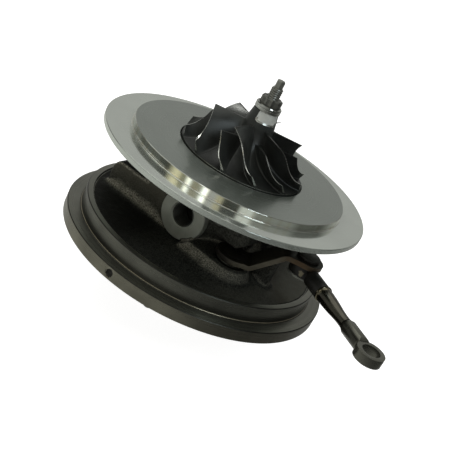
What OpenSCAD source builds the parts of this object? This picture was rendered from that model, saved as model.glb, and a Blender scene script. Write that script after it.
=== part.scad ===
// Turbocharger cartridge: centre housing, rotor, compressor back plate, and vane lever with its link.
// Millimetres. Z runs along the shaft from the turbine to the compressor, and the oil inlet faces -Y.
// The origin lies on the shaft axis, level with the underside of the turbine-side rim.

/* [Turbine-side flange] */
// Radius of the rim that the turbine housing clamps
rim_r = 53.7; // [52:0.1:60]
// Thickness of the rim
rim_t = 4.9; // [4.5:0.1:6]
// Radius of the machined spigot above the rim
spigot_r = 48.4; // [47.5:0.1:51]
// Height of the deck above the rim
spigot_h = 6.2; // [5.8:0.1:8]
// Width of the machined land around the deck
land_w = 2.4; // [1.5:0.1:3.4]
// Height of the land above the deck
land_h = 0.4; // [0.2:0.1:0.8]
// Thickness of the deck over the vane cavity
deck_t = 5; // [4:0.1:6]
// Radius of the vane cavity in the underside
cavity_r = 44; // [43:0.1:45.5]
// Radius of the nose in the middle of the cavity
nose_r = 22; // [18:0.1:22.4]
// Depth of the nose below the rim's underside
nose_drop = 1; // [0.6:0.1:2]
// Diameter of the locating dowel under the rim
dowel_d = 4; // [2:0.1:5]
// Height of the dowel below the rim
dowel_drop = 2.2; // [1:0.1:3]
// Direction of the dowel from the shaft
dowel_az = -73; // [-85:1:-60]

/* [Housing core] */
// Height of the core from the deck to the plate's seat
core_h = 28; // [27.5:0.1:32]
// Radius of the neck above the deck
neck_r = 19.3; // [18:0.1:20.5]
// Reach of the square upper core towards the lever side
block_x = 25.4; // [22:0.1:26]
// Reach of the square upper core away from the lever side
block_back_x = 22; // [20:0.1:26]
// Height of the square upper core's underside above the deck
block_rise = 11; // [10.6:0.1:12]
// Radius of the flange under the plate
seat_r = 35; // [34.5:0.1:37]
// Thickness of the flange under the plate
seat_t = 5.6; // [5:0.1:6.5]

/* [Ports] */
// Radius of the oil inlet boss
inlet_boss_r = 9.45; // [8:0.05:10]
// Radius of the oil inlet hole
inlet_r = 4.5; // [3:0.1:5.5]
// Distance of the oil inlet face from the shaft axis
inlet_reach = 24; // [22:0.1:28]
// Height of the oil inlet above the deck
inlet_rise = 11.3; // [10:0.1:13]
// Reach of the bracket arm along -X
arm_reach = 38; // [30:0.1:42]
// Height of the bracket arm above the deck
arm_h = 11.6; // [10.6:0.1:13]
// Width of the bracket arm
arm_w = 11.5; // [10:0.1:16]
// Radius of the tapped hole in the end of the bracket arm
arm_hole_r = 3.4; // [2.5:0.1:3.6]
// Distance of the oil drain face from the shaft axis
drain_reach = 24; // [22:0.1:28]
// Radius of the oil drain hole at its mouth
drain_r = 7; // [6:0.1:7.4]
// Depth of the oil drain's mouth
drain_mouth = 8; // [5:0.1:10]
// Distance between the two drain bolts
drain_pitch = 34; // [30:0.1:40]

/* [Compressor plate] */
// Outer radius of the plate
plate_r = 53.1; // [51:0.1:58]
// Thickness of the plate's outer flange
plate_t = 2.15; // [1.8:0.05:3]
// Radius of the register's lower band
band_r = 43.6; // [43:0.1:47]
// Height of the register's lower band
band_h = 1.5; // [1.2:0.1:2]
// Radius of the register's upper band
register_r = 42.8; // [40:0.1:42.9]
// Height of the register's upper band
register_h = 1.4; // [1.2:0.1:2]
// Depth of the recess around the compressor wheel
recess_d = 3; // [2.8:0.1:3.2]
// Radius of the pilot that centres the plate in the housing
pilot_r = 24; // [20:0.1:24.5]
// Height of the pilot below the seat
pilot_h = 5.1; // [4.6:0.1:5.6]
// Radius of the circle that the plate bolts lie on
bolt_circle_r = 30; // [29.4:0.1:30.3]
// Diameter of the plate bolts
bolt_d = 5; // [4:0.1:5.2]

/* [Bearings and seals] */
// Radius of the shaft in its bearing
journal_r = 3.75; // [3.2:0.05:4]
// Outer radius of the journal bearing
bearing_r = 7.5; // [6.8:0.05:7.8]
// Length of the journal bearing
bearing_len = 22.4; // [20:0.1:22.6]
// Thickness of the thrust bearing
thrust_t = 3; // [2.6:0.1:3.2]
// Radius of the thrust bearing
thrust_r = 16; // [13:0.1:18]
// Radius of the rotating seal lands
seal_r = 8; // [7.4:0.05:8.4]
// Width of a seal ring
seal_ring_t = 1.4; // [1:0.1:1.6]
// Depth of a seal ring groove
seal_groove_d = 1.6; // [1.2:0.1:2]

/* [Compressor wheel] */
// Radius of the wheel at its outlet
wheel_r = 24.5; // [22:0.1:26]
// Radius of the wheel at its inlet
inducer_r = 17.8; // [15:0.1:18.5]
// Height of the inlet edge above the plate's face
inducer_h = 14.8; // [13:0.1:16]
// Blade height at the outlet
outlet_b = 3.5; // [3:0.1:4.5]
// Radius of the hub at the inlet
hub_r = 6; // [5.5:0.1:6.5]
// Radius of the hub's nose
hub_nose_r = 5.2; // [5:0.1:5.4]
// Height of the hub's nose above the plate's face
hub_nose_h = 21; // [20:0.1:23]
// Number of full blades, with one splitter blade after each
blade_n = 6; // [5:1:7]
// Blade thickness at the root
blade_root_t = 1.1; // [0.8:0.05:1.3]
// Blade thickness at the tip
blade_tip_t = 0.6; // [0.4:0.05:0.8]
// Turn of a blade's tip from inlet to outlet
wrap_tip = 38.7; // [30:0.1:45]
// Turn of a blade's root from inlet to outlet
wrap_root = 46.2; // [38:0.1:52]

/* [Turbine wheel] */
// Radius of the wheel at its inlet
turbine_r = 21.5; // [18:0.1:23]
// Radius of the wheel at its outlet
exducer_r = 18; // [15:0.1:18]
// Blade height at the inlet
inlet_b = 5.5; // [4.5:0.1:6]
// Axial length of the blades
turbine_len = 15; // [13:0.1:16]
// Number of turbine blades
turbine_blade_n = 10; // [8:1:11]
// Turn of the blades towards the outlet
turbine_wrap = 44; // [30:1:50]

/* [Shaft and nut] */
// Radius of the shaft inside the compressor wheel
stub_r = 2.5; // [2.2:0.05:2.6]
// Length of the shaft above the nut
shaft_tail = 4; // [3:0.1:6]
// Radius of the shaft's drive tip
tip_r = 1.7; // [1.4:0.05:1.9]
// Length of the drive tip
tip_len = 3; // [2:0.1:4]
// Radius of the nut's collar
nut_collar_r = 5; // [4.6:0.1:5.4]
// Height of the nut's collar
nut_collar_h = 2.4; // [2:0.1:3]
// Radius across the nut's corners
nut_r = 4.1; // [3.9:0.05:4.4]
// Height of the nut above its collar
nut_h = 2.8; // [2:0.1:4]

/* [Control lever] */
// Distance of the lever's pivot from the shaft axis
pivot_r = 28.7; // [28.4:0.1:29.5]
// Direction of the lever's pivot from the shaft axis
pivot_az = -39; // [-42:0.5:-36]
// Height of the pivot pad above the deck
pad_h = 5.6; // [5:0.1:5.8]
// Radius of the pivot pad at its foot
pad_r = 9.2; // [8.6:0.1:9.8]
// Distance between the pivot and the pin of the link
lever_arm = 24.5; // [24:0.1:28]
// Direction of the lever from its pivot
lever_az = 29.4; // [26:0.1:31]
// Thickness of the lever
lever_t = 1.9; // [1.7:0.1:2.2]
// Width of the lever
lever_w = 11; // [9:0.1:12]
// Rise of the lever's joggle
joggle_h = 10.2; // [9.8:0.1:10.6]
// Slope of the lever's joggle
joggle_angle = 45; // [40:1:50]
// Start of the joggle's first bend from the pivot
joggle_start = 5.2; // [4.8:0.1:5.6]
// Inner radius of the lever's bends
bend_r = 2; // [1.5:0.1:2.5]
// Radius of the lever's shaft
lever_shaft_r = 3; // [2.5:0.05:3.2]
// Length of the inner crank
crank_len = 9; // [7:0.1:10]

/* [Control link] */
// Distance between the link's two eyes
link_len = 47; // [42:0.1:56]
// Direction of the link from the lever's pin
link_az = -30.7; // [-45:0.1:-20]
// Outer radius of the inner eye
inner_eye_r = 5; // [4.6:0.1:5.6]
// Thickness of the inner eye
inner_eye_t = 3.6; // [3.2:0.1:4.2]
// Outer radius of the outer eye
outer_eye_r = 5.1; // [4.6:0.1:6]
// Thickness of the outer eye
outer_eye_t = 3.4; // [3:0.1:4.4]
// Radius of the hole in the outer eye
eye_hole_r = 3.3; // [2.5:0.05:3.5]
// Radius of the pin between the lever and the link
link_pin_r = 3; // [2.5:0.05:3.2]
// Radius of the inner sleeve
sleeve_r = 3.1; // [2.8:0.05:3.2]
// End of the inner sleeve from the pin
sleeve_end = 15; // [13:0.1:17]
// Radius of the polished rod beside its collar
rod_r = 2.7; // [2.4:0.05:2.9]
// Radius of the polished rod at its outer end
rod_end_r = 1.6; // [1.5:0.05:1.9]
// End of the polished rod from the pin
rod_end = 32.2; // [28:0.1:33]
// Radius of the outer socket
socket_r = 2.8; // [2.5:0.05:3]

/* [Clearances] */
// Radial clearance of running fits
run_fit = 0.05; // [0.02:0.01:0.1]
// Radial clearance of parts that are fixed together
fixed_fit = 0.02; // [0.01:0.01:0.04]
// Gap between parts that pass each other
pass_gap = 0.3; // [0.25:0.05:0.5]
// Axial play on each side of the thrust bearing
thrust_gap = 0.15; // [0.1:0.01:0.25]

/* [Hidden] */
$fn = 64;
// Extra length that carries a cut through a face
over = 1;

// Heights of the housing
deck_z = rim_t + spigot_h;
cavity_z = deck_z - deck_t;
seat_z = deck_z + core_h;
seat_under_z = seat_z - seat_t;
block_z = deck_z + block_rise;
inlet_z = deck_z + inlet_rise;
neck_fillet = 3;
edge = 0.5;
block_corner_r = 3;
block_relief = 3;

// Heights of the compressor plate
plate_top_z = seat_z + plate_t;
band_top_z = plate_top_z + band_h;
face_z = band_top_z + register_h;
recess_z = face_z - recess_d;
recess_r = wheel_r + 2 * pass_gap;
bolt_angles = [60, 120, 240, 300];
bolt_grip = recess_d + 1;
bolt_head_h = 3.4;
bolt_head_r = bolt_d * 0.9;

// Drain pad under the rear bolt heads, and the bracket arm's hole
drain_pad_h = seat_under_z - bolt_head_h - edge - deck_z;
drain_z = deck_z + drain_pad_h / 2;
drain_step = 1;
drain_bolt_r = 2.5;
drain_bolt_depth = 9;
arm_hole_in = arm_w / 2;
arm_hole_up = (arm_h - 2) / 2;

// Bearing stack, from the pilot's underside down to the turbine
thrust_top_z = seat_z - pilot_h;
thrust_z = thrust_top_z - thrust_t;
collar_flange_t = 2.8;
collar_z = thrust_z - thrust_gap - collar_flange_t;
collar_r = bearing_r - 2 * pass_gap;
collar_neck_r = stub_r + 2.4;
bearing_top_z = collar_z - 2 * pass_gap;
bearing_z = bearing_top_z - bearing_len;
bearing_bore_r = bearing_r + run_fit;
lip_t = 0.8;
lip_top_z = bearing_z - pass_gap;
lip_z = lip_top_z - lip_t;
lip_r = journal_r + 2 * pass_gap;
shaft_land_z = lip_z - pass_gap;
seal_bore_r = seal_r + pass_gap;
well_r = bearing_bore_r + 2.5;
waist_len = bearing_len / 3;
bearing_mid_z = bearing_z + bearing_len / 2;
bearing_pin_r = 1.5;
bearing_pin_in = 1.1;
flinger_z = thrust_top_z + thrust_gap;
flinger_top_z = recess_z - thrust_gap;
groove_play = 0.2;
groove_w = seal_ring_t + groove_play;
groove_r = seal_r - seal_groove_d;
flinger_groove_z = (flinger_z + flinger_top_z) / 2;
o_ring_r = 0.8;
o_ring_z = seat_z - pilot_h / 2;

// Turbine end
shield_t = 0.8;
shield_gap = 0.1;
shield_h = cavity_z + nose_drop - 2;
turbine_gap = 1;
shield_z = -nose_drop - shield_gap;
shield_hole_r = seal_r + 1.5;
weld_z = shield_z - shield_t - turbine_gap;
turbine_back_t = 1.2;
turbine_hub_r = 6;
turbine_nose_h = 3.5;
turbine_front_z = weld_z - turbine_back_t;
turbine_groove_z = (shield_z + shaft_land_z) / 2;

// Compressor end
wheel_back_z = recess_z + 1.2;
wheel_hub_z = face_z + edge;
wheel_boss_r = seal_r - edge;
inducer_z = face_z + inducer_h;
hub_nose_z = face_z + hub_nose_h;
nut_z = hub_nose_z + nut_collar_h;
nut_top_z = nut_z + nut_h;
shaft_top_z = nut_top_z + shaft_tail;
wheel_az = -90.5;
splitter_start = 21;
balance_flat_az = -42;
balance_flat_h = 4;
balance_flat_d = 1.5;

// Blades: spans from under the hub's surface to the tip, and thickness on a circle over true thickness
blade_spans = [-0.1, 0.45, 1];
wheel_lean = [1.7, 1.3];
turbine_lean = [1, 1.4];
turbine_root_t = 1.8;
turbine_tip_t = 0.9;
turbine_blade_end = 88;
inlet_turn = 0.4;
inlet_turn_rate = 16;
inlet_crowding = 1.3;

// Control lever
pivot = pivot_r * [cos(pivot_az), sin(pivot_az)];
pad_top_z = deck_z + pad_h;
pad_slope = 1.6;
pad_tail = 18;
bush_wall = 1.5;
bush_flange_t = 1.2;
bush_flange_w = 3.2;
bush_flange_r = lever_shaft_r + bush_flange_w;
lever_z = pad_top_z + bush_flange_t + pass_gap;
lever_high_z = lever_z + joggle_h;
lever_hub_r = lever_w / 2 + 1.2;
lever_eye_r = lever_w / 2 + 0.5;
rivet_h = 0.3;
rivet_r = lever_shaft_r + 1.2;
bend_out_r = bend_r + lever_t;
joggle_run = (bend_r + bend_out_r) * sin(joggle_angle)
    + (joggle_h - (bend_r + bend_out_r) * (1 - cos(joggle_angle))) / tan(joggle_angle);
joggle_end = joggle_start + joggle_run;
crank_t = 3;
crank_gap = 1;
crank_z = cavity_z - crank_gap - crank_t;
crank_hub_r = lever_shaft_r + 1.7;
crank_end_r = 3.4;
crank_pin_r = 1.8;
slider_h = 3;
slider_w = 6;
crank_az = pivot_az;

// Control link
pin_at = pivot + lever_arm * [cos(lever_az), sin(lever_az)];
link_z = lever_high_z - inner_eye_t / 2 - pass_gap;
pin_head_r = link_pin_r + 1.3;
pin_head_h = 1.4;
clip_t = 0.8;
clip_r = link_pin_r + 1.9;
clip_groove_r = link_pin_r - 0.7;
clip_z = link_z - inner_eye_t / 2 - pass_gap - clip_t;
pin_bottom_z = clip_z - 1;
tail_r = rod_end_r - 0.4;
tail_len = 7;
sleeve_start = lever_eye_r + 2 * pass_gap;
sleeve_neck_r = inner_eye_t * 0.47;
stud_collar_r = sleeve_r + 0.2;
stud_collar_t = 1;
stud_taper = 1;
socket_flat = socket_r * 0.9;

// Stop lug beside the pivot pad
lug_x = 28;
lug_w = 7.4;
lug_y = -10;
lug_d = 5;
lug_h = 8;
lug_rise = 4.2;
lug_flare = 1.2;

// Dowel in the rim's underside
dowel_at_r = (cavity_r + rim_r) / 2;
dowel_floor = 1;
dowel_depth = rim_t - dowel_floor;

// Small drilled mark on the rim's side
rim_mark_r = 0.9;
rim_mark_az = -91;

module ring(r_in, r_out, h, z) {
    translate([0, 0, z])
        difference() {
            cylinder(r = r_out, h = h);
            translate([0, 0, -over])
                cylinder(r = r_in, h = h + 2 * over);
        }
}

module rounded_square(w, h, r) {
    union() {
        translate([r, 0])
            square([w - 2 * r, h]);
        translate([0, r])
            square([w, h - 2 * r]);
        for (x = [r, w - r], y = [r, h - r])
            translate([x, y])
                circle(r);
    }
}

// Flange, neck and upper flange as one turned shape
module housing_turned() {
    rotate_extrude()
        polygon([
            [0, -nose_drop],
            [nose_r, -nose_drop],
            [nose_r, cavity_z],
            [cavity_r, cavity_z],
            [cavity_r, 0],
            [rim_r, 0],
            [rim_r, rim_t - edge],
            [rim_r - edge, rim_t],
            [spigot_r, rim_t],
            [spigot_r, deck_z + land_h - edge],
            [spigot_r - edge, deck_z + land_h],
            [spigot_r - land_w, deck_z + land_h],
            [spigot_r - land_w - land_h, deck_z],
            [neck_r + neck_fillet, deck_z],
            [neck_r, deck_z + neck_fillet],
            [neck_r, seat_under_z],
            [seat_r, seat_under_z],
            [seat_r, seat_z],
            [0, seat_z]
        ]);
}

// Square upper core that carries the inlet boss, cut back over the lever
module housing_block() {
    difference() {
        translate([-block_back_x, -neck_r, block_z])
            linear_extrude(seat_under_z - block_z + edge)
                rounded_square(block_back_x + block_x, 2 * neck_r, block_corner_r);
        translate([block_x, 0, block_z])
            rotate([0, 45, 0])
                cube([sqrt(2) * block_relief, 2 * neck_r + 2 * over, sqrt(2) * block_relief], center = true);
    }
}

// Arm along -X that rises from the deck, with rounded top edges and a rounded end
module bracket_arm() {
    front_edge_r = 1.6;
    end_r = 4.5;
    foot = over;
    translate([0, -neck_r, deck_z - foot])
        intersection() {
            translate([-arm_reach, 0, 0])
                rotate([90, 0, 90])
                    linear_extrude(arm_reach - over)
                        union() {
                            translate([front_edge_r, 0])
                                square([arm_w - front_edge_r - end_r, arm_h + foot]);
                            square([arm_w, arm_h + foot - end_r]);
                            square([arm_w - end_r, arm_h + foot - front_edge_r]);
                            translate([front_edge_r, arm_h + foot - front_edge_r])
                                circle(front_edge_r);
                            translate([arm_w - end_r, arm_h + foot - end_r])
                                circle(end_r);
                        }
            translate([-arm_reach, arm_w, -end_r])
                rotate([90, 0, 0])
                    linear_extrude(arm_w)
                        rounded_square(arm_reach + end_r, arm_h + foot + end_r, end_r);
        }
}

// Long pad with sloped sides under the lever's pivot
module pivot_pad() {
    pad_top_r = pad_r - pad_slope;
    translate([pivot[0], pivot[1], deck_z - over])
        cylinder(r1 = pad_r + over * pad_slope / pad_h, r2 = pad_top_r, h = pad_h + over);
    translate([pivot[0] - pad_tail, pivot[1], deck_z - over])
        rotate([90, 0, 90])
            linear_extrude(pad_tail)
                polygon([
                    [-pad_r - over * pad_slope / pad_h, 0],
                    [pad_r, 0],
                    [pad_top_r, pad_h + over],
                    [-pad_top_r, pad_h + over]
                ]);
}

// Cast lug that stands on the deck under the lever's joggle
module stop_lug() {
    translate([0, lug_y + lug_d, deck_z - over])
        rotate([90, 0, 0])
            linear_extrude(lug_d)
                polygon([
                    [lug_x - lug_flare, 0],
                    [lug_x + lug_w + lug_flare, 0],
                    [lug_x + lug_w, 2 * lug_flare],
                    [lug_x + lug_w, lug_h + lug_rise + over],
                    [lug_x, lug_h + over],
                    [lug_x, 2 * lug_flare]
                ]);
}

module inlet_boss() {
    translate([0, 0, inlet_z])
        rotate([90, 0, 0])
            cylinder(r = inlet_boss_r, h = inlet_reach);
}

// Pad on the back that takes the oil drain pipe's flange
module drain_pad() {
    pad_ear = 5;
    pad_w = drain_pitch + 2 * pad_ear;
    translate([-pad_w / 2, drain_reach, deck_z - over])
        rotate([90, 0, 0])
            linear_extrude(drain_reach - neck_r / 2)
                rounded_square(pad_w, drain_pad_h + over, pad_ear);
}

// Bores along the shaft axis, from the seal bore up to the plate's pilot
module housing_bore() {
    rotate_extrude()
        polygon([
            [0, -nose_drop - over],
            [seal_bore_r, -nose_drop - over],
            [seal_bore_r, lip_z],
            [lip_r, lip_z],
            [lip_r, lip_top_z],
            [bearing_bore_r, lip_top_z],
            [bearing_bore_r, collar_z],
            [well_r, collar_z],
            [well_r, thrust_z],
            [thrust_r + fixed_fit, thrust_z],
            [thrust_r + fixed_fit, thrust_top_z],
            [pilot_r + fixed_fit, thrust_top_z],
            [pilot_r + fixed_fit, seat_z + over],
            [0, seat_z + over]
        ]);
}

module housing_ports() {
    inlet_depth = 10;
    feed_r = 1.6;
    arm_hole_depth = 14;
    translate([0, -inlet_reach + inlet_depth, inlet_z])
        rotate([90, 0, 0])
            cylinder(r = inlet_r, h = inlet_depth + over);
    translate([0, -bearing_r + over, inlet_z])
        rotate([90, 0, 0])
            cylinder(r = feed_r, h = inlet_reach - inlet_depth);
    translate([-arm_reach - over, -neck_r + arm_hole_in, deck_z + arm_hole_up])
        rotate([0, 90, 0])
            cylinder(r = arm_hole_r, h = arm_hole_depth + over);
    translate([0, 0, drain_z])
        rotate([-90, 0, 0])
            cylinder(r = drain_r - drain_step, h = drain_reach);
    translate([0, drain_reach - drain_mouth, drain_z])
        rotate([-90, 0, 0])
            cylinder(r = drain_r, h = drain_mouth + over);
    for (side = [-1, 1])
        translate([side * drain_pitch / 2, drain_reach - drain_bolt_depth, drain_z])
            rotate([-90, 0, 0])
                cylinder(r = drain_bolt_r, h = drain_bolt_depth + over);
}

module at_bolts() {
    for (a = bolt_angles)
        rotate([0, 0, a])
            translate([bolt_circle_r, 0, 0])
                children();
}

module at_pivot(z) {
    translate([pivot[0], pivot[1], z])
        children();
}

module at_pin(z) {
    translate([pin_at[0], pin_at[1], z])
        children();
}

module along_lever() {
    at_pivot(0)
        rotate([0, 0, lever_az])
            children();
}

module along_link() {
    at_pin(link_z)
        rotate([0, 0, link_az])
            children();
}

// Turns a shape along Z into one along the link
module lengthwise(x) {
    translate([x, 0, 0])
        rotate([0, 90, 0])
            children();
}

module bearing_housing() {
    color("#2c2a27")
        difference() {
            union() {
                housing_turned();
                housing_block();
                bracket_arm();
                pivot_pad();
                stop_lug();
                inlet_boss();
                drain_pad();
            }
            housing_bore();
            housing_ports();
            at_bolts()
                translate([0, 0, seat_under_z - over])
                    cylinder(r = bolt_d / 2 + run_fit, h = seat_t + 2 * over);
            at_pivot(cavity_z - over)
                cylinder(r = lever_shaft_r + bush_wall + fixed_fit, h = deck_t + pad_h + 2 * over);
            rotate([0, 0, dowel_az])
                translate([dowel_at_r, 0, -over])
                    cylinder(r = dowel_d / 2 + fixed_fit, h = dowel_depth + over);
            rotate([0, 0, rim_mark_az])
                translate([rim_r - rim_mark_r, 0, rim_t / 2])
                    rotate([0, 90, 0])
                        cylinder(r = rim_mark_r, h = rim_mark_r + over);
            translate([0, 0, bearing_mid_z])
                rotate([0, 90, 0])
                    cylinder(r = bearing_pin_r + fixed_fit, h = neck_r + neck_fillet);
        }
}

module compressor_backplate() {
    line_d = 0.3;
    groove_half = o_ring_r + 0.1;
    groove_floor_r = pilot_r + fixed_fit - 2 * o_ring_r - fixed_fit;
    color("#b9bdb6")
        difference() {
            rotate_extrude()
                polygon([
                    [seal_bore_r, thrust_top_z],
                    [pilot_r, thrust_top_z],
                    [pilot_r, o_ring_z - groove_half],
                    [groove_floor_r, o_ring_z - groove_half],
                    [groove_floor_r, o_ring_z + groove_half],
                    [pilot_r, o_ring_z + groove_half],
                    [pilot_r, seat_z],
                    [plate_r - line_d, seat_z],
                    [plate_r, seat_z + line_d],
                    [plate_r, plate_top_z - edge],
                    [plate_r - edge, plate_top_z],
                    [band_r, plate_top_z],
                    [band_r, band_top_z - line_d],
                    [register_r - line_d, band_top_z - line_d],
                    [register_r - line_d, band_top_z],
                    [register_r, band_top_z],
                    [register_r, face_z - line_d],
                    [register_r - line_d, face_z],
                    [recess_r, face_z],
                    [recess_r, recess_z],
                    [seal_bore_r, recess_z]
                ]);
            at_bolts()
                translate([0, 0, seat_z - over])
                    cylinder(r = bolt_d / 2 + fixed_fit, h = bolt_grip + over);
        }
}

module backplate_bolts() {
    washer_t = 0.6;
    color("#4a4a48")
        at_bolts() {
            translate([0, 0, seat_under_z - washer_t])
                cylinder(r = bolt_head_r, h = washer_t);
            translate([0, 0, seat_under_z - bolt_head_h])
                cylinder(r = bolt_head_r, h = bolt_head_h - washer_t, $fn = 6);
            translate([0, 0, seat_under_z - over])
                cylinder(r = bolt_d / 2, h = seat_t + bolt_grip + over - edge);
        }
}

module backplate_o_ring() {
    color("#1b1b1b")
        rotate_extrude()
            translate([pilot_r - o_ring_r, o_ring_z])
                circle(o_ring_r - fixed_fit);
}

// Bronze disc with an oil groove in each face
module thrust_bearing() {
    groove_d = 0.5;
    groove_mid_r = (collar_neck_r + thrust_r) / 2;
    color("#b08d4c")
        difference() {
            ring(collar_neck_r + run_fit, thrust_r, thrust_t, thrust_z);
            for (z = [thrust_z - over, thrust_top_z - groove_d])
                ring(groove_mid_r - 1, groove_mid_r + 1, groove_d + over, z);
        }
}

// One sleeve with a bearing land at each end and a relieved middle
module journal_bearing() {
    relief = 0.8;
    color("#b5934f")
        difference() {
            rotate_extrude()
                polygon([
                    [journal_r + run_fit, bearing_z],
                    [bearing_r, bearing_z],
                    [bearing_r, bearing_mid_z - waist_len / 2],
                    [bearing_r - relief, bearing_mid_z - waist_len / 2],
                    [bearing_r - relief, bearing_mid_z + waist_len / 2],
                    [bearing_r, bearing_mid_z + waist_len / 2],
                    [bearing_r, bearing_top_z],
                    [journal_r + run_fit, bearing_top_z],
                    [journal_r + run_fit, bearing_mid_z + waist_len / 2],
                    [journal_r + relief, bearing_mid_z + waist_len / 2],
                    [journal_r + relief, bearing_mid_z - waist_len / 2],
                    [journal_r + run_fit, bearing_mid_z - waist_len / 2]
                ]);
            translate([0, 0, bearing_mid_z])
                rotate([0, 90, 0])
                    cylinder(r = bearing_pin_r + run_fit, h = bearing_r + over);
        }
}

// Cross pin that keeps the journal bearing from turning
module bearing_pin() {
    color("#8f9092")
        translate([bearing_r - bearing_pin_in, 0, bearing_mid_z])
            rotate([0, 90, 0])
                cylinder(r = bearing_pin_r, h = neck_r - bearing_r);
}

// Split seal ring that grips its bore and runs in a groove of the shaft
module seal_ring(z) {
    split = 0.4;
    difference() {
        ring(groove_r + pass_gap, seal_bore_r - fixed_fit, seal_ring_t, z - seal_ring_t / 2);
        translate([0, -split / 2, z - seal_ring_t])
            cube([seal_bore_r + over, split, 2 * seal_ring_t]);
    }
}

module compressor_seal_ring() {
    color("#6d6e70")
        seal_ring(flinger_groove_z);
}

module turbine_seal_ring() {
    color("#6d6e70")
        seal_ring(turbine_groove_z);
}

// Thin cap over the nose that faces the turbine wheel
module heat_shield() {
    shield_r = nose_r + shield_gap;
    color("#7d7a74")
        rotate_extrude()
            polygon([
                [shield_hole_r, shield_z - shield_t],
                [shield_r + shield_t - edge, shield_z - shield_t],
                [shield_r + shield_t, shield_z - shield_t + edge],
                [shield_r + shield_t, shield_z + shield_h],
                [shield_r, shield_z + shield_h],
                [shield_r, shield_z],
                [shield_hole_r, shield_z]
            ]);
}

module locating_dowel() {
    color("#3a3835")
        rotate([0, 0, dowel_az])
            translate([dowel_at_r, 0, -dowel_drop])
                union() {
                    translate([0, 0, edge])
                        cylinder(r = dowel_d / 2, h = dowel_drop + dowel_depth - 2 * edge);
                    cylinder(r1 = dowel_d / 2 - edge, r2 = dowel_d / 2, h = edge);
                }
}

module lever_bush() {
    bush_in_r = lever_shaft_r + run_fit;
    color("#8a8578")
        at_pivot(0) {
            ring(bush_in_r, lever_shaft_r + bush_wall, deck_t + pad_h, cavity_z);
            ring(bush_in_r, bush_flange_r, bush_flange_t, pad_top_z);
        }
}

// Shaft with its turbine-side seal land, journals and the stub for the compressor wheel
module turbine_shaft() {
    waist = 0.4;
    color("#a5a7a8")
        union() {
            rotate_extrude()
                polygon([
                    [0, weld_z],
                    [seal_r, weld_z],
                    [seal_r, turbine_groove_z - groove_w / 2],
                    [groove_r, turbine_groove_z - groove_w / 2],
                    [groove_r, turbine_groove_z + groove_w / 2],
                    [seal_r, turbine_groove_z + groove_w / 2],
                    [seal_r, shaft_land_z],
                    [journal_r, shaft_land_z],
                    [journal_r, bearing_mid_z - waist_len / 2],
                    [journal_r - waist, bearing_mid_z - waist_len / 2],
                    [journal_r - waist, bearing_mid_z + waist_len / 2],
                    [journal_r, bearing_mid_z + waist_len / 2],
                    [journal_r, collar_z],
                    [stub_r, collar_z],
                    [stub_r, shaft_top_z - edge],
                    [stub_r - edge, shaft_top_z],
                    [0, shaft_top_z]
                ]);
            translate([0, 0, shaft_top_z])
                cylinder(r = tip_r, h = tip_len, $fn = 6);
        }
}

// Blade surfaces are swept between a root curve and a tip curve, each a quarter of an ellipse.
// A station t runs from 0 at the inlet to 90 at the outlet, and a span s from root 0 to tip 1.
function blend(a, b, s) = a + (b - a) * s;
function polar(r, az, z) = [r * cos(az), r * sin(az), z];

function wheel_root(t) = [
    hub_r + (wheel_r - hub_r) * (1 - cos(t)),
    wheel_hub_z + (inducer_z - wheel_hub_z) * (1 - sin(t))
];
function wheel_tip(t) = [
    inducer_r + (wheel_r - inducer_r) * (1 - cos(t)),
    wheel_hub_z + outlet_b + (inducer_z - wheel_hub_z - outlet_b) * (1 - sin(t))
];

// Share of a blade's turn that is done at a station: quick in the inlet, then steady
function turn_share(t) = (1 - inlet_turn) * t / 90 + inlet_turn * (1 - exp(-t / inlet_turn_rate));

function wheel_point(t, s, side) =
    let (
        p = blend(wheel_root(t), wheel_tip(t), s),
        az = wheel_az + blend(wrap_root, wrap_tip, s) * turn_share(t),
        lean = blend(wheel_lean[0], wheel_lean[1], t / 90),
        half = lean * blend(blade_root_t, blade_tip_t, s) / 2
    )
    polar(p[0], az + side * half / p[0] * 180 / PI, p[1]);

function turbine_root(t) = [
    turbine_hub_r + (turbine_r - turbine_hub_r) * (1 - sin(t)),
    turbine_front_z - turbine_len * (1 - cos(t))
];
function turbine_tip(t) = [
    exducer_r + (turbine_r - exducer_r) * (1 - sin(t)),
    turbine_front_z - inlet_b - (turbine_len - inlet_b) * (1 - cos(t))
];

function turbine_point(t, s, side) =
    let (
        p = blend(turbine_root(t), turbine_tip(t), s),
        az = turbine_wrap * pow(t / 90, 2),
        lean = blend(turbine_lean[0], turbine_lean[1], t / 90),
        half = lean * blend(turbine_root_t, turbine_tip_t, s) / 2
    )
    polar(p[0], az + side * half / p[0] * 180 / PI, p[1]);

// Two triangles across four corners
function quad(a, b, c, d) = [[a, b, c], [a, c, d]];

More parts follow.
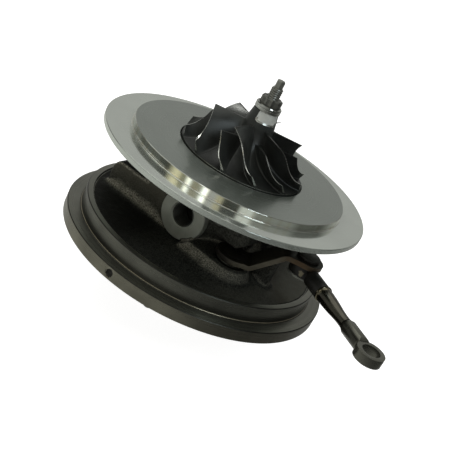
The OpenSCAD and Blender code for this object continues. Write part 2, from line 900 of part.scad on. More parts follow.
// Closes a blade from its points, given as pts[station][span][side]
module blade(pts) {
    n = len(pts);
    m = len(pts[0]);
    out = n - 1;
    top = m - 1;
    function at(i, j, k) = (i * m + j) * 2 + k;
    flanks = [
        for (i = [0 : n - 2], j = [0 : m - 2])
            concat(
                quad(at(i, j, 0), at(i + 1, j, 0), at(i + 1, j + 1, 0), at(i, j + 1, 0)),
                quad(at(i, j, 1), at(i, j + 1, 1), at(i + 1, j + 1, 1), at(i + 1, j, 1))
            )
    ];
    ends = [
        for (j = [0 : m - 2])
            concat(
                quad(at(0, j, 0), at(0, j + 1, 0), at(0, j + 1, 1), at(0, j, 1)),
                quad(at(out, j, 0), at(out, j, 1), at(out, j + 1, 1), at(out, j + 1, 0))
            )
    ];
    edges = [
        for (i = [0 : n - 2])
            concat(
                quad(at(i, 0, 0), at(i, 0, 1), at(i + 1, 0, 1), at(i + 1, 0, 0)),
                quad(at(i, top, 0), at(i + 1, top, 0), at(i + 1, top, 1), at(i, top, 1))
            )
    ];
    points = [for (row = pts) for (pair = row) each pair];
    polyhedron(points, [for (group = concat(flanks, ends, edges)) each group]);
}

module wheel_blade(start) {
    stations = 7;
    blade([
        for (i = [0 : stations])
            let (t = start + (90 - start) * pow(i / stations, inlet_crowding))
            [for (s = blade_spans) [for (side = [1, -1]) wheel_point(t, s, side)]]
    ]);
}

module compressor_wheel() {
    hub_steps = 10;
    color("#3b3d40")
        difference() {
            union() {
                rotate_extrude()
                    polygon(concat(
                        [
                            [0, flinger_top_z],
                            [wheel_boss_r, flinger_top_z],
                            [wheel_boss_r, wheel_back_z],
                            [wheel_r, wheel_back_z]
                        ],
                        [for (i = [0 : hub_steps]) wheel_root(90 - 90 * i / hub_steps)],
                        [
                            [hub_nose_r, hub_nose_z - balance_flat_h - edge],
                            [hub_nose_r, hub_nose_z],
                            [0, hub_nose_z]
                        ]
                    ));
                for (i = [0 : blade_n - 1]) {
                    rotate([0, 0, i * 360 / blade_n])
                        wheel_blade(0);
                    rotate([0, 0, (i + 0.5) * 360 / blade_n])
                        wheel_blade(splitter_start);
                }
            }
            translate([0, 0, flinger_top_z - over])
                cylinder(r = stub_r + fixed_fit, h = hub_nose_z - flinger_top_z + 2 * over);
            rotate([0, 0, balance_flat_az])
                translate([hub_nose_r - balance_flat_d, -hub_nose_r, hub_nose_z - balance_flat_h])
                    cube([2 * hub_nose_r, 2 * hub_nose_r, balance_flat_h + over]);
        }
}

module turbine_wheel() {
    stations = 6;
    hub_steps = 8;
    color("#5b5349")
        union() {
            rotate_extrude()
                polygon(concat(
                    [
                        [0, weld_z],
                        [turbine_r, weld_z]
                    ],
                    [for (i = [0 : hub_steps]) turbine_root(90 * i / hub_steps)],
                    [
                        [turbine_hub_r - 2 * edge, turbine_front_z - turbine_len - turbine_nose_h],
                        [0, turbine_front_z - turbine_len - turbine_nose_h]
                    ]
                ));
            for (k = [0 : turbine_blade_n - 1])
                rotate([0, 0, k * 360 / turbine_blade_n])
                    blade([
                        for (i = [0 : stations])
                            let (t = turbine_blade_end * i / stations)
                            [for (s = blade_spans) [for (side = [1, -1]) turbine_point(t, s, side)]]
                    ]);
        }
}

// Sleeve and flange that carry the rotor's axial load to the thrust bearing
module thrust_collar() {
    color("#8d8f92")
        difference() {
            union() {
                translate([0, 0, collar_z])
                    cylinder(r = collar_r, h = collar_flange_t);
                translate([0, 0, collar_z])
                    cylinder(r = collar_neck_r, h = flinger_z - collar_z);
            }
            translate([0, 0, collar_z - over])
                cylinder(r = stub_r + fixed_fit, h = flinger_z - collar_z + 2 * over);
        }
}

// Sleeve that throws oil off and carries the compressor-side seal ring
module oil_flinger() {
    color("#8d8f92")
        rotate_extrude()
            polygon([
                [stub_r + fixed_fit, flinger_z],
                [seal_r, flinger_z],
                [seal_r, flinger_groove_z - groove_w / 2],
                [groove_r, flinger_groove_z - groove_w / 2],
                [groove_r, flinger_groove_z + groove_w / 2],
                [seal_r, flinger_groove_z + groove_w / 2],
                [seal_r, flinger_top_z],
                [stub_r + fixed_fit, flinger_top_z]
            ]);
}

// Collar nut with twelve points
module shaft_nut() {
    color("#a8aaab")
        difference() {
            union() {
                translate([0, 0, hub_nose_z])
                    cylinder(r = nut_collar_r, h = nut_collar_h);
                for (a = [0, 30])
                    rotate([0, 0, a])
                        translate([0, 0, nut_z])
                            cylinder(r = nut_r, h = nut_h, $fn = 6);
            }
            translate([0, 0, hub_nose_z - over])
                cylinder(r = stub_r + fixed_fit, h = nut_collar_h + nut_h + 2 * over);
        }
}

function arc_points(c, r, from, to) = [
    for (i = [0 : 4])
        let (a = from + (to - from) * i / 4)
        [c[0] + r * cos(a), c[1] + r * sin(a)]
];

// Side view of the bent strip, along the lever and up
module lever_side() {
    low_c = [joggle_start, lever_z + bend_out_r];
    high_c = [joggle_end, lever_high_z - bend_r];
    tail = -lever_hub_r - over;
    end = lever_arm + lever_eye_r + over;
    polygon(concat(
        [[tail, lever_z]],
        arc_points(low_c, bend_out_r, -90, -90 + joggle_angle),
        arc_points(high_c, bend_r, 90 + joggle_angle, 90),
        [[end, lever_high_z], [end, lever_high_z + lever_t]],
        arc_points(high_c, bend_out_r, 90, 90 + joggle_angle),
        arc_points(low_c, bend_r, -90 + joggle_angle, -90),
        [[tail, lever_z + lever_t]]
    ));
}

// Bent strip with a round end at the pivot and at the pin
module control_lever() {
    color("#4b4136")
        along_lever()
            difference() {
                intersection() {
                    translate([0, lever_hub_r, 0])
                        rotate([90, 0, 0])
                            linear_extrude(2 * lever_hub_r)
                                lever_side();
                    translate([0, 0, lever_z - over])
                        linear_extrude(joggle_h + lever_t + 2 * over) {
                            circle(lever_hub_r);
                            translate([lever_arm, 0])
                                circle(lever_eye_r);
                            translate([0, -lever_w / 2])
                                square([lever_arm, lever_w]);
                        }
                }
                translate([0, 0, lever_z - over])
                    cylinder(r = lever_shaft_r + fixed_fit, h = lever_t + 2 * over);
                translate([lever_arm, 0, lever_high_z - over])
                    cylinder(r = link_pin_r + fixed_fit, h = lever_t + 2 * over);
            }
}

module lever_shaft() {
    color("#8f8a7c")
        at_pivot(0) {
            translate([0, 0, crank_z])
                cylinder(r = lever_shaft_r, h = lever_z + lever_t - crank_z + rivet_h);
            translate([0, 0, lever_z + lever_t])
                cylinder(r = rivet_r, h = rivet_h);
        }
}

// Arm inside the vane cavity that turns with the lever
module inner_crank() {
    color("#6b665c")
        at_pivot(crank_z)
            rotate([0, 0, crank_az])
                difference() {
                    linear_extrude(crank_t) {
                        circle(crank_hub_r);
                        translate([crank_len, 0])
                            circle(crank_end_r);
                        translate([0, -crank_end_r])
                            square([crank_len, 2 * crank_end_r]);
                    }
                    translate([0, 0, -over])
                        cylinder(r = lever_shaft_r + fixed_fit, h = crank_t + 2 * over);
                    translate([crank_len, 0, -over])
                        cylinder(r = crank_pin_r + fixed_fit, h = crank_t + 2 * over);
                }
}

module at_crank_end(z) {
    at_pivot(z)
        rotate([0, 0, crank_az])
            translate([crank_len, 0, 0])
                children();
}

module crank_pin() {
    color("#8f8a7c")
        at_crank_end(crank_z - slider_h)
            cylinder(r = crank_pin_r, h = slider_h + crank_t);
}

// Square block on the crank's pin that slides in the vane ring
module crank_slider() {
    color("#77726a")
        at_crank_end(crank_z - slider_h)
            difference() {
                translate([-slider_w / 2, -slider_w / 2, 0])
                    linear_extrude(slider_h)
                        rounded_square(slider_w, slider_w, 1);
                translate([0, 0, -over])
                    cylinder(r = crank_pin_r + fixed_fit, h = slider_h + 2 * over);
            }
}

module link_pin() {
    color("#77746c")
        at_pin(0)
            difference() {
                union() {
                    translate([0, 0, pin_bottom_z])
                        cylinder(r = link_pin_r, h = lever_high_z + lever_t - pin_bottom_z);
                    translate([0, 0, lever_high_z + lever_t])
                        cylinder(r = pin_head_r, h = pin_head_h);
                }
                ring(clip_groove_r, link_pin_r + over, clip_t + 2 * fixed_fit, clip_z - fixed_fit);
            }
}

// Open retaining ring under the link's inner eye
module link_clip() {
    color("#55534e")
        at_pin(0)
            difference() {
                ring(clip_groove_r + fixed_fit, clip_r, clip_t, clip_z);
                translate([0, -clip_groove_r * 0.9, clip_z - over])
                    cube([clip_r + over, clip_groove_r * 1.8, clip_t + 2 * over]);
            }
}

// Inner eye and the threaded sleeve that the stud screws into
module link_inner_end() {
    color("#26251f")
        along_link()
            difference() {
                union() {
                    translate([0, 0, -inner_eye_t / 2])
                        cylinder(r = inner_eye_r, h = inner_eye_t);
                    lengthwise(link_pin_r)
                        cylinder(r = sleeve_neck_r, h = sleeve_end - link_pin_r);
                    lengthwise(sleeve_start)
                        cylinder(r = sleeve_r, h = sleeve_end - sleeve_start);
                }
                translate([0, 0, -inner_eye_t])
                    cylinder(r = link_pin_r + run_fit, h = 2 * inner_eye_t);
                lengthwise(sleeve_end - tail_len)
                    cylinder(r = tail_r + fixed_fit, h = tail_len + over);
            }
}

// Polished rod with a collar and a plain tail for the thread at each end
module link_stud() {
    taper_start = sleeve_end + stud_collar_t;
    color("#9c9a92")
        along_link()
            union() {
                lengthwise(sleeve_end - tail_len + over)
                    cylinder(r = tail_r, h = rod_end - sleeve_end + 2 * tail_len - 2 * over);
                lengthwise(sleeve_end)
                    cylinder(r = stud_collar_r, h = stud_collar_t);
                lengthwise(taper_start)
                    cylinder(r1 = stud_collar_r, r2 = rod_r, h = stud_taper);
                lengthwise(taper_start + stud_taper)
                    cylinder(r1 = rod_r, r2 = rod_end_r, h = rod_end - taper_start - stud_taper);
            }
}

// Outer eye with a round socket that has flats for a spanner
module link_outer_end() {
    color("#4f4d46")
        along_link()
            difference() {
                union() {
                    translate([link_len, 0, -outer_eye_t / 2])
                        cylinder(r = outer_eye_r, h = outer_eye_t);
                    intersection() {
                        lengthwise(rod_end)
                            cylinder(r = socket_r, h = link_len - rod_end - eye_hole_r);
                        translate([rod_end, -socket_r, -socket_flat])
                            cube([link_len - rod_end - outer_eye_r + edge, 2 * socket_r, 2 * socket_flat]);
                    }
                }
                translate([link_len, 0, -outer_eye_t])
                    cylinder(r = eye_hole_r, h = 2 * outer_eye_t);
                lengthwise(rod_end - over)
                    cylinder(r = tail_r + fixed_fit, h = tail_len + over);
            }
}

bearing_housing();
compressor_backplate();
backplate_bolts();
backplate_o_ring();
thrust_bearing();
journal_bearing();
bearing_pin();
compressor_seal_ring();
turbine_seal_ring();
heat_shield();
locating_dowel();
lever_bush();
turbine_shaft();
turbine_wheel();
thrust_collar();
oil_flinger();
compressor_wheel();
shaft_nut();
control_lever();
lever_shaft();
inner_crank();
crank_pin();
crank_slider();
link_pin();
link_clip();
link_inner_end();
link_stud();
link_outer_end();
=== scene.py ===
"""Turbocharger cartridge: the visible pieces and finishes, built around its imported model."""

from math import atan2, cos, exp, hypot, pi, radians, sin, sqrt, tan

import bmesh
import bpy
import numpy as np
from bpy.props import FloatProperty, FloatVectorProperty, IntProperty, PointerProperty
from mathutils import Matrix, Vector, noise


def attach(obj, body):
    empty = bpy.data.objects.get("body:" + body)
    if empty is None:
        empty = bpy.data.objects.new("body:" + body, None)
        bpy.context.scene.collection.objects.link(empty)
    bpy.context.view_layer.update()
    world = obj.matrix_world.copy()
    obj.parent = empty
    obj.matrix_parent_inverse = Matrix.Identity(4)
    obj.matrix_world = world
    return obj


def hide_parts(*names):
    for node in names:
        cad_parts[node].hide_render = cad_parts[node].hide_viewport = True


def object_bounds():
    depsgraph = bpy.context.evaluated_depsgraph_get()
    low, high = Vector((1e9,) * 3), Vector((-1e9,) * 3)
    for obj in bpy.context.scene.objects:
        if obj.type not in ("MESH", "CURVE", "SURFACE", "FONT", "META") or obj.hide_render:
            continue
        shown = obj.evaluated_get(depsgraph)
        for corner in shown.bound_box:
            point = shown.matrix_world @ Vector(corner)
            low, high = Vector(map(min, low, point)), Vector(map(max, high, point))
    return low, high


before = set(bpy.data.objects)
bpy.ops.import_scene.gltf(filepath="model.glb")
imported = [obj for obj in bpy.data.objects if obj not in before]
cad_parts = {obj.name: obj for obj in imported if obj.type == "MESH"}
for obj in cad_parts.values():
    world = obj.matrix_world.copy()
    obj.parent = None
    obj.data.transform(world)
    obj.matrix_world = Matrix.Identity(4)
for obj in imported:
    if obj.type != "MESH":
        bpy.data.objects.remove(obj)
CAD_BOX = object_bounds()

bl_info = {
    "name": "Turbo cartridge",
    "version": (1, 0, 0),
    "blender": (4, 5, 0),
    "location": "3D View > Sidebar > Cartridge",
    "description": "Builds the pieces and finishes of a turbocharger cartridge around its frame",
    "category": "Object",
}

MM = 0.001
TURN = 2 * pi

# Flange and spigot, in millimetres like all sizes below
RIM_R, RIM_T = 53.7, 4.9
SPIGOT_R, DECK_Z = 48.4, 11.1
LAND_W, LAND_H = 2.4, 0.4
CAVITY_R, CAVITY_Z = 44.0, 6.1
NOSE_R, NOSE_Z = 22.0, -1.0
SEAL_BORE_R = 8.3
INLET_Z, DRAIN_Z, DRAIN_BOLT_X = 22.4, 20.35, 17
BRACKET_HOLE_Y, BRACKET_HOLE_Z = -13.55, 15.9
SEAT_UNDER_Z, SEAT_Z = 33.5, 39.1

# Compressor plate
PLATE_R, PLATE_TOP_Z = 53.1, 41.25
LIP_R, LIP_TOP_Z = 43.05, 41.75
REGISTER_R, FACE_Z = 42.8, 44.15
RECESS_R, RECESS_Z = 25.1, 41.15
PILOT_R, PILOT_Z = 24.0, 34.0
BOLT_CIRCLE_R = 30.0
BOLT_ANGLES = (60, 120, 240, 300)

# Compressor wheel
WHEEL_R, INDUCER_R, HUB_R, HUB_NOSE_R = 24.5, 17.8, 6.0, 5.2
WHEEL_BOTTOM_Z, WHEEL_BACK_Z, WHEEL_HUB_Z = 41.0, 42.35, 44.65
INDUCER_Z, HUB_NOSE_Z = 58.95, 65.15
OUTLET_B = 3.5
WHEEL_AZ = -90.5
# Its blades: turn in degrees at root and tip, thickness at inlet and outlet, share of it at the tip
BLADE_TURN, BLADE_T, BLADE_TIP = (46.2, 38.7), (1.7, 1.3), 0.26

# Turbine wheel
TURBINE_R, EXDUCER_R, TURBINE_HUB_R = 21.5, 18.0, 6.0
WELD_Z, TURBINE_FRONT_Z, TURBINE_LEN, TURBINE_INLET_B = -2.9, -4.1, 15.0, 5.5
TURBINE_NOSE_H, TURBINE_TURN = 3.5, radians(44)

# Shaft and nut
STUB_R, SHAFT_TOP_Z, TIP_Z = 2.5, 74.35, 77.35
NUT_COLLAR_TOP_Z, NUT_TOP_Z = 67.55, 70.35

# Lever and link
PIVOT = (22.304, -18.061)
LEVER_ARM, LEVER_AZ = 24.5, radians(29.4)
LEVER_Z, LEVER_HIGH_Z, LEVER_T, LEVER_W = 18.2, 28.4, 1.9, 11.0
JOGGLE_START = 5.2
PIN = (43.649, -6.034)
LINK_AZ, LINK_Z = radians(-30.7), 26.3
OUTER_EYE = (84.062, -30.03, LINK_Z)
WORN_SPOT = (45.4, -10.7, 25.9)


# ------------------------------------------------------------------ meshes


def lerp(a, b, s):
    return a + (b - a) * s


def around(r, a, z):
    """A point at a radius, angle and height."""
    return Vector((r * cos(a), r * sin(a), z))


def hexagon(radius, turn=0.0):
    """Distance from the axis to a hexagon's side, by angle."""
    apothem = radius * cos(pi / 6)
    return lambda a: apothem / cos((a + turn) % (pi / 3) - pi / 6)


def placed(name, data):
    """A new object in the scene."""
    obj = bpy.data.objects.new(name, data)
    bpy.context.scene.collection.objects.link(obj)
    return obj


def wear(mesh, *materials):
    """Gives a mesh its finishes, in place of those it had."""
    mesh.materials.clear()
    for material in materials:
        mesh.materials.append(material)


def shade(mesh, angle):
    """Smooth shading that stays sharp across edges above an angle."""
    mesh.polygons.foreach_set("use_smooth", [True] * len(mesh.polygons))
    mesh.set_sharp_from_angle(angle=radians(angle))


def edited(mesh, work):
    """Changes a mesh through its bmesh."""
    bm = bmesh.new()
    bm.from_mesh(mesh)
    work(bm)
    bm.to_mesh(mesh)
    bm.free()


def body_mesh(name, points, faces, materials, indices=None, sharp=40):
    """A closed object from points in millimetres, with doubles merged and faces outward."""
    mesh = bpy.data.meshes.new(name)
    mesh.from_pydata([Vector(p) * MM for p in points], [], faces)
    wear(mesh, *materials)
    if indices is not None:
        mesh.polygons.foreach_set("material_index", indices)

    def close(bm):
        bmesh.ops.remove_doubles(bm, verts=bm.verts, dist=1e-6)
        bmesh.ops.dissolve_degenerate(bm, edges=bm.edges, dist=1e-7)
        bmesh.ops.recalc_face_normals(bm, faces=bm.faces)

    edited(mesh, close)
    shade(mesh, sharp)
    return placed(name, mesh)


def eased(profile, radius, steps=2):
    """A closed profile of (r, z, finish) with its corners rounded."""
    out = []
    count = len(profile)
    for i, (r, z, finish) in enumerate(profile):
        a = Vector(profile[i - 1][:2])
        b = Vector((r, z))
        c = Vector(profile[(i + 1) % count][:2])
        u, v = a - b, c - b
        angle = u.angle(v)
        if r < 1e-6 or angle > radians(170):
            out.append((r, z, finish))
            continue
        trim = min(radius / tan(angle / 2), 0.45 * u.length, 0.45 * v.length)
        u.normalize()
        v.normalize()
        arc = trim * tan(angle / 2)
        centre = b + (u + v).normalized() * (arc / sin(angle / 2))
        start = (b + u * trim) - centre
        end = (b + v * trim) - centre
        a0 = atan2(start.y, start.x)
        turn = (atan2(end.y, end.x) - a0 + pi) % TURN - pi
        for k in range(steps + 1):
            t = a0 + turn * k / steps
            out.append((centre.x + arc * cos(t), centre.y + arc * sin(t), finish))
    return out


def lathe(name, profile, materials, angles=None, segments=192, place=None, sharp=32):
    """A closed profile of (r, z, finish) turned round Z, then moved by a matrix in millimetres."""
    angles = angles or [TURN * k / segments for k in range(segments)]
    n, m = len(profile), len(angles)
    points = [around(r, a, z) for a in angles for r, z, _ in profile]
    if place:
        points = [place @ p for p in points]
    faces, indices = [], []
    for k in range(m):
        here, after = k * n, (k + 1) % m * n
        for i in range(n):
            j = (i + 1) % n
            if profile[i][0] < 1e-6 and profile[j][0] < 1e-6:
                continue
            faces.append((here + i, after + i, after + j, here + j))
            indices.append(profile[i][2])
    return body_mesh(name, points, faces, materials, indices, sharp)


def ring_faces(rows, columns, closed=False):
    """Quads between neighbouring rings of points."""
    faces = []
    for i in range(rows if closed else rows - 1):
        here, after = i * columns, (i + 1) % rows * columns
        for k in range(columns):
            n = (k + 1) % columns
            faces.append((here + k, here + n, after + n, after + k))
    return faces


def spun(name, rows, materials, segments=96, place=None, sharp=35, finish=None):
    """A body from rows of (z, radius or radius by angle), closed at both ends."""
    points, indices = [], []
    for z, radius in rows:
        for k in range(segments):
            a = TURN * k / segments
            points.append(around(radius(a) if callable(radius) else radius, a, z))
    faces = ring_faces(len(rows), segments)
    for (low, _), (high, _) in zip(rows, rows[1:]):
        for k in range(segments):
            indices.append(finish(low, high, TURN * (k + 0.5) / segments) if finish else 0)
    for row in (0, len(rows) - 1):
        hub = len(points)
        points.append(Vector((0, 0, rows[row][0])))
        for k in range(segments):
            faces.append((row * segments + k, row * segments + (k + 1) % segments, hub))
            indices.append(0)
    if place:
        points = [place @ p for p in points]
    return body_mesh(name, points, faces, materials, indices, sharp)


def baked(obj):
    """Puts an object's modifiers into its mesh."""
    graph = bpy.context.evaluated_depsgraph_get()
    mesh = bpy.data.meshes.new_from_object(obj.evaluated_get(graph))
    obj.modifiers.clear()
    obj.data = mesh
    return obj


def cut_by(obj, cutter, operation="DIFFERENCE"):
    """Adds an exact cut by another object."""
    cut = obj.modifiers.new("cut", "BOOLEAN")
    cut.operation, cut.solver, cut.object = operation, "EXACT", cutter


def break_edges(obj, width, steps, angle):
    """Rounds an object's edges above an angle, by a width in millimetres."""
    bevel = obj.modifiers.new("edges", "BEVEL")
    bevel.width, bevel.segments = width * MM, steps
    bevel.limit_method, bevel.angle_limit = "ANGLE", radians(angle)
    baked(obj)
    shade(obj.data, 40)


def joined_copy(node, name):
    """A copy of a frame node with its loose triangles joined into one skin."""
    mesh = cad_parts[node].data.copy()
    edited(mesh, lambda bm: bmesh.ops.remove_doubles(bm, verts=bm.verts, dist=2e-7))
    wear(mesh)
    mesh.name = name
    return placed(name, mesh)


def eased_copy(node, name, material, width, steps=2, cutters=()):
    """A copy of a frame node, less the cutters, with its sharp edges broken."""
    obj = joined_copy(node, name)
    for cutter in cutters:
        cut_by(obj, cutter)
    if cutters:
        baked(obj)
    for cutter in cutters:
        bpy.data.objects.remove(cutter)
    edited(
        obj.data,
        lambda bm: bmesh.ops.dissolve_limit(bm, angle_limit=radians(0.6), verts=bm.verts, edges=bm.edges),
    )
    break_edges(obj, width, steps, 35)
    wear(obj.data, material)
    return obj


def keep(obj, body, slot, *nodes):
    """Rides a piece on a body and hides the frame nodes that it stands for. Its slot, a finish's name, is
    not used.
    """
    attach(obj, body)
    if nodes:
        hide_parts(*nodes)


def along_link():
    """Turns a shape along Z into one along the link, from the pin."""
    return (
        Matrix.Translation((PIN[0], PIN[1], LINK_Z))
        @ Matrix.Rotation(LINK_AZ, 4, "Z")
        @ Matrix.Rotation(pi / 2, 4, "Y")
    )


# ------------------------------------------------------------------ node trees


class Nodes:
    """Adds nodes to a tree; an input is given as a value or as another node's output."""

    def __init__(self, tree):
        self.tree = tree

    def new(self, kind, inputs=None, **settings):
        node = self.tree.nodes.new(kind)
        for key, value in settings.items():
            setattr(node, key, value)
        for key, value in (inputs or {}).items():
            self.feed(node.inputs[key], value)
        return node

    def feed(self, socket, value):
        if hasattr(value, "links"):
            self.tree.links.new(value, socket)
        else:
            socket.default_value = value

    def math(self, operation, a, b=0.0):
        return self.new("ShaderNodeMath", {0: a, 1: b}, operation=operation).outputs[0]

    def times(self, value, *others):
        for other in others:
            value = self.math("MULTIPLY", value, other)
        return value

    def reach(self, a, b):
        """Length of a step by a and b."""
        return self.math("SQRT", self.math("ADD", self.times(a, a), self.times(b, b)))

    def split(self, vector):
        return self.new("ShaderNodeSeparateXYZ", {0: vector}).outputs

    def span(self, value, low, high, to_low=0.0, to_high=1.0):
        """A value's place between low and high, as one between two others."""
        names = ("Value", "From Min", "From Max", "To Min", "To Max")
        numbers = (value, low, high, to_low, to_high)
        return self.new("ShaderNodeMapRange", dict(zip(names, numbers))).outputs[0]

    def mix(self, share, a, b):
        node = self.new("ShaderNodeMix", {0: share}, data_type="RGBA")
        for socket, value in ((node.inputs[6], a), (node.inputs[7], b)):
            self.feed(socket, value if hasattr(value, "links") else (*value, 1))
        return node.outputs[2]


def node_group(name, inputs):
    """A geometry tree with named inputs: its nodes, what comes in, and the inputs' identifiers."""
    tree = bpy.data.node_groups.new(name, "GeometryNodeTree")
    sockets = [("Geometry", "Geometry"), *inputs]
    keys = [
        tree.interface.new_socket(key, in_out="INPUT", socket_type="NodeSocket" + kind).identifier
        for key, kind in sockets
    ]
    tree.interface.new_socket("Geometry", in_out="OUTPUT", socket_type="NodeSocketGeometry")
    nodes = Nodes(tree)
    return nodes, nodes.new("NodeGroupInput").outputs, keys[1:]


def run_nodes(obj, nodes, result, keys, values):
    """Runs a tree on an object with its inputs set, and bakes the result."""
    nodes.new("NodeGroupOutput", {0: result})
    mod = obj.modifiers.new("nodes", "NODES")
    mod.node_group = nodes.tree
    for key, value in zip(keys, values):
        mod[key] = value
    baked(obj)


def ring_of(obj, count, cast, bright):
    """Repeats an object's mesh round Z, with its own finish on the faces marked as machined."""
    g, given, keys = node_group(
        "ring_of_blades", [("Count", "Int"), ("Cast finish", "Material"), ("Machined finish", "Material")]
    )
    line = g.new("GeometryNodeMeshLine", {"Count": given["Count"], "Offset": (0, 0, 0)})
    index = g.new("GeometryNodeInputIndex").outputs[0]
    turn = g.times(index, g.math("DIVIDE", TURN, given["Count"]))
    place = g.new("GeometryNodeInstanceOnPoints", {
        "Points": line.outputs[0],
        "Instance": given["Geometry"],
        "Rotation": g.new("ShaderNodeCombineXYZ", {"Z": turn}).outputs[0],
    })
    real = g.new("GeometryNodeRealizeInstances", {0: place.outputs[0]})
    dark = g.new("GeometryNodeSetMaterial", {"Geometry": real.outputs[0], "Material": given["Cast finish"]})
    mark = g.new("GeometryNodeInputNamedAttribute", {"Name": "machined"}, data_type="BOOLEAN")
    light = g.new("GeometryNodeSetMaterial", {
        "Geometry": dark.outputs[0],
        "Selection": mark.outputs["Attribute"],
        "Material": given["Machined finish"],
    })
    run_nodes(obj, g, light.outputs[0], keys, (count, cast, bright))
    shade(obj.data, 40)


def set_on_points(obj, thing, finish):
    """Sets a copy of one object on every point of another's mesh."""
    g, given, keys = node_group("bolts_on_points", [("Bolt", "Object"), ("Finish", "Material")])
    info = g.new("GeometryNodeObjectInfo", {0: given["Bolt"]})
    place = g.new("GeometryNodeInstanceOnPoints", {
        "Points": given["Geometry"],
        "Instance": info.outputs["Geometry"],
    })
    real = g.new("GeometryNodeRealizeInstances", {0: place.outputs[0]})
    paint = g.new("GeometryNodeSetMaterial", {"Geometry": real.outputs[0], "Material": given["Finish"]})
    run_nodes(obj, g, paint.outputs[0], keys, (thing, finish))
    shade(obj.data, 35)


# ------------------------------------------------------------------ finishes


def shaded(colour, factor):
    """A colour made darker or lighter."""
    return tuple(min(1.0, c * factor) for c in colour)


class Finish(Nodes):
    """One procedural material, made node by node on object coordinates in metres."""

    def __init__(self, name, **values):
        self.material = bpy.data.materials.new(name)
        self.material.use_nodes = True
        super().__init__(self.material.node_tree)
        self.shader = self.tree.nodes["Principled BSDF"]
        self.coords = self.new("ShaderNodeTexCoord").outputs["Object"]
        self.done(**values)

    def done(self, **sockets):
        for key, value in sockets.items():
            name = key.replace("_", " ").title().replace("Ior", "IOR")
            self.feed(self.shader.inputs[name], value)
        return self.material

    def stretch(self, scale, turn=0.0):
        inputs = {"Vector": self.coords, "Scale": scale, "Rotation": (0, 0, turn)}
        return self.new("ShaderNodeMapping", inputs).outputs[0]

    def noise(self, scale, detail=3.0, rough=0.55, vector=None):
        inputs = {"Vector": vector or self.coords, "Scale": scale, "Detail": detail, "Roughness": rough}
        return self.new("ShaderNodeTexNoise", inputs).outputs[0]

    def lines(self, value, scale, detail):
        """Noise along one measure, such as turning marks along the radius."""
        inputs = {"W": value, "Scale": scale, "Detail": detail}
        return self.new("ShaderNodeTexNoise", inputs, noise_dimensions="1D").outputs[0]

    def parts(self):
        return self.split(self.coords)

    def radius(self):
        x, y, _ = self.parts()
        return self.reach(x, y)

    def angle(self):
        x, y, _ = self.parts()
        return self.math("ARCTAN2", y, x)

    def distance(self, point):
        inputs = {0: self.coords, 1: Vector(point) * MM}
        return self.new("ShaderNodeVectorMath", inputs, operation="DISTANCE").outputs["Value"]

    def steepness(self):
        """How far a surface faces up: 1 for a deck, 0 for a wall."""
        return self.split(self.new("ShaderNodeNewGeometry").outputs["Normal"])[2]

    def drift(self, value, low=0.0, high=1.0):
        """A noise's middle range as a range of another measure."""
        return self.span(value, 0.3, 0.7, low, high)

    def clouded(self, share, colour, low, high):
        """A colour that drifts between two shades."""
        return self.mix(share, shaded(colour, low), shaded(colour, high))

    def bump(self, height, distance, strength, normal=None):
        inputs = {"Height": height, "Distance": distance * MM, "Strength": strength}
        if normal:
            inputs["Normal"] = normal
        return self.new("ShaderNodeBump", inputs).outputs[0]


def cast_iron(colours):
    """Black and speckled, with brown walls, sandy grain and a painted highlight on the slopes, a painted
    shadow on the deck's left, a painted pool of light on the deck's right corner and painted shade in the
    oil bore.
    """
    f = Finish("cast_black_iron", metallic=0.1, specular_ior_level=0.06)
    x, y, z = f.parts()
    up = f.steepness()
    speck = f.math("ADD", f.times(f.noise(2000, 2, 0.6), 0.88), f.times(f.noise(110, 4), 0.12))
    tone = f.clouded(f.span(speck, 0.4, 0.62), colours.cast, 0.35, 2.3)
    # Painted shadow: the deck's left side, under the plate's overhang, is darkened.
    deck = f.times(f.span(up, 0.8, 0.95), f.span(x, -0.012, 0.0, 0.82, 0))
    tone = f.mix(deck, tone, shaded(colours.cast, 0.2))
    wall = f.times(f.span(up, 0.2, 0.5, 1, 0), f.span(z, 0.012, 0.022), f.span(x, -0.004, 0.008, 1, 0.1))
    tone = f.mix(f.times(wall, 0.8), tone, colours.cast_brown)
    # Slopes and fillets take pale sandy grain with a painted highlight, weaker on the right and round the
    # bosses.
    slope = f.times(f.span(up, 0.15, 0.36), f.span(up, 0.6, 0.84, 1, 0))
    bosses = f.times(f.span(z, 0.023, 0.027), f.span(x, 0.002, 0.01))
    grain_and_highlight = f.times(
        f.span(f.noise(2900, 2, 0.7), 0.42, 0.62, 0.1, 0.9),
        f.span(f.noise(330, 3), 0.3, 0.6, 0.6, 1),
        f.span(x, -0.012, 0.0, 1, 0.8),
        f.span(x, 0.014, 0.03, 1, 0.45),
        f.span(bosses, 0, 1, 1, 0.2),
    )
    tone = f.mix(f.times(slope, grain_and_highlight), tone, colours.sand_and_highlight)
    # Painted pool of light: a pale patch on the deck's right corner.
    painted_light_patch = f.times(f.span(x, 0.02, 0.036), f.span(up, 0.9, 0.98), f.span(y, -0.013, -0.003, 0.3, 1))
    tone = f.mix(painted_light_patch, tone, shaded(colours.sand_and_highlight, 0.34))
    # Painted shade in the oil bore: the casting inside it takes one flat, darker tone.
    bore = f.reach(x, f.math("SUBTRACT", z, INLET_Z * MM))
    inside = f.times(f.span(bore, 0.0046, 0.0049, 1, 0), f.span(y, -0.006, -0.004, 1, 0))
    tone = f.mix(inside, tone, shaded(colours.cast, 0.7))
    normal = f.bump(f.noise(2300, 2, 0.6), 0.16, 0.8, f.bump(f.noise(700, 3), 0.16, 0.7))
    return f.done(base_color=tone, roughness=f.drift(f.noise(400, 3), 0.5, 0.7), normal=normal)


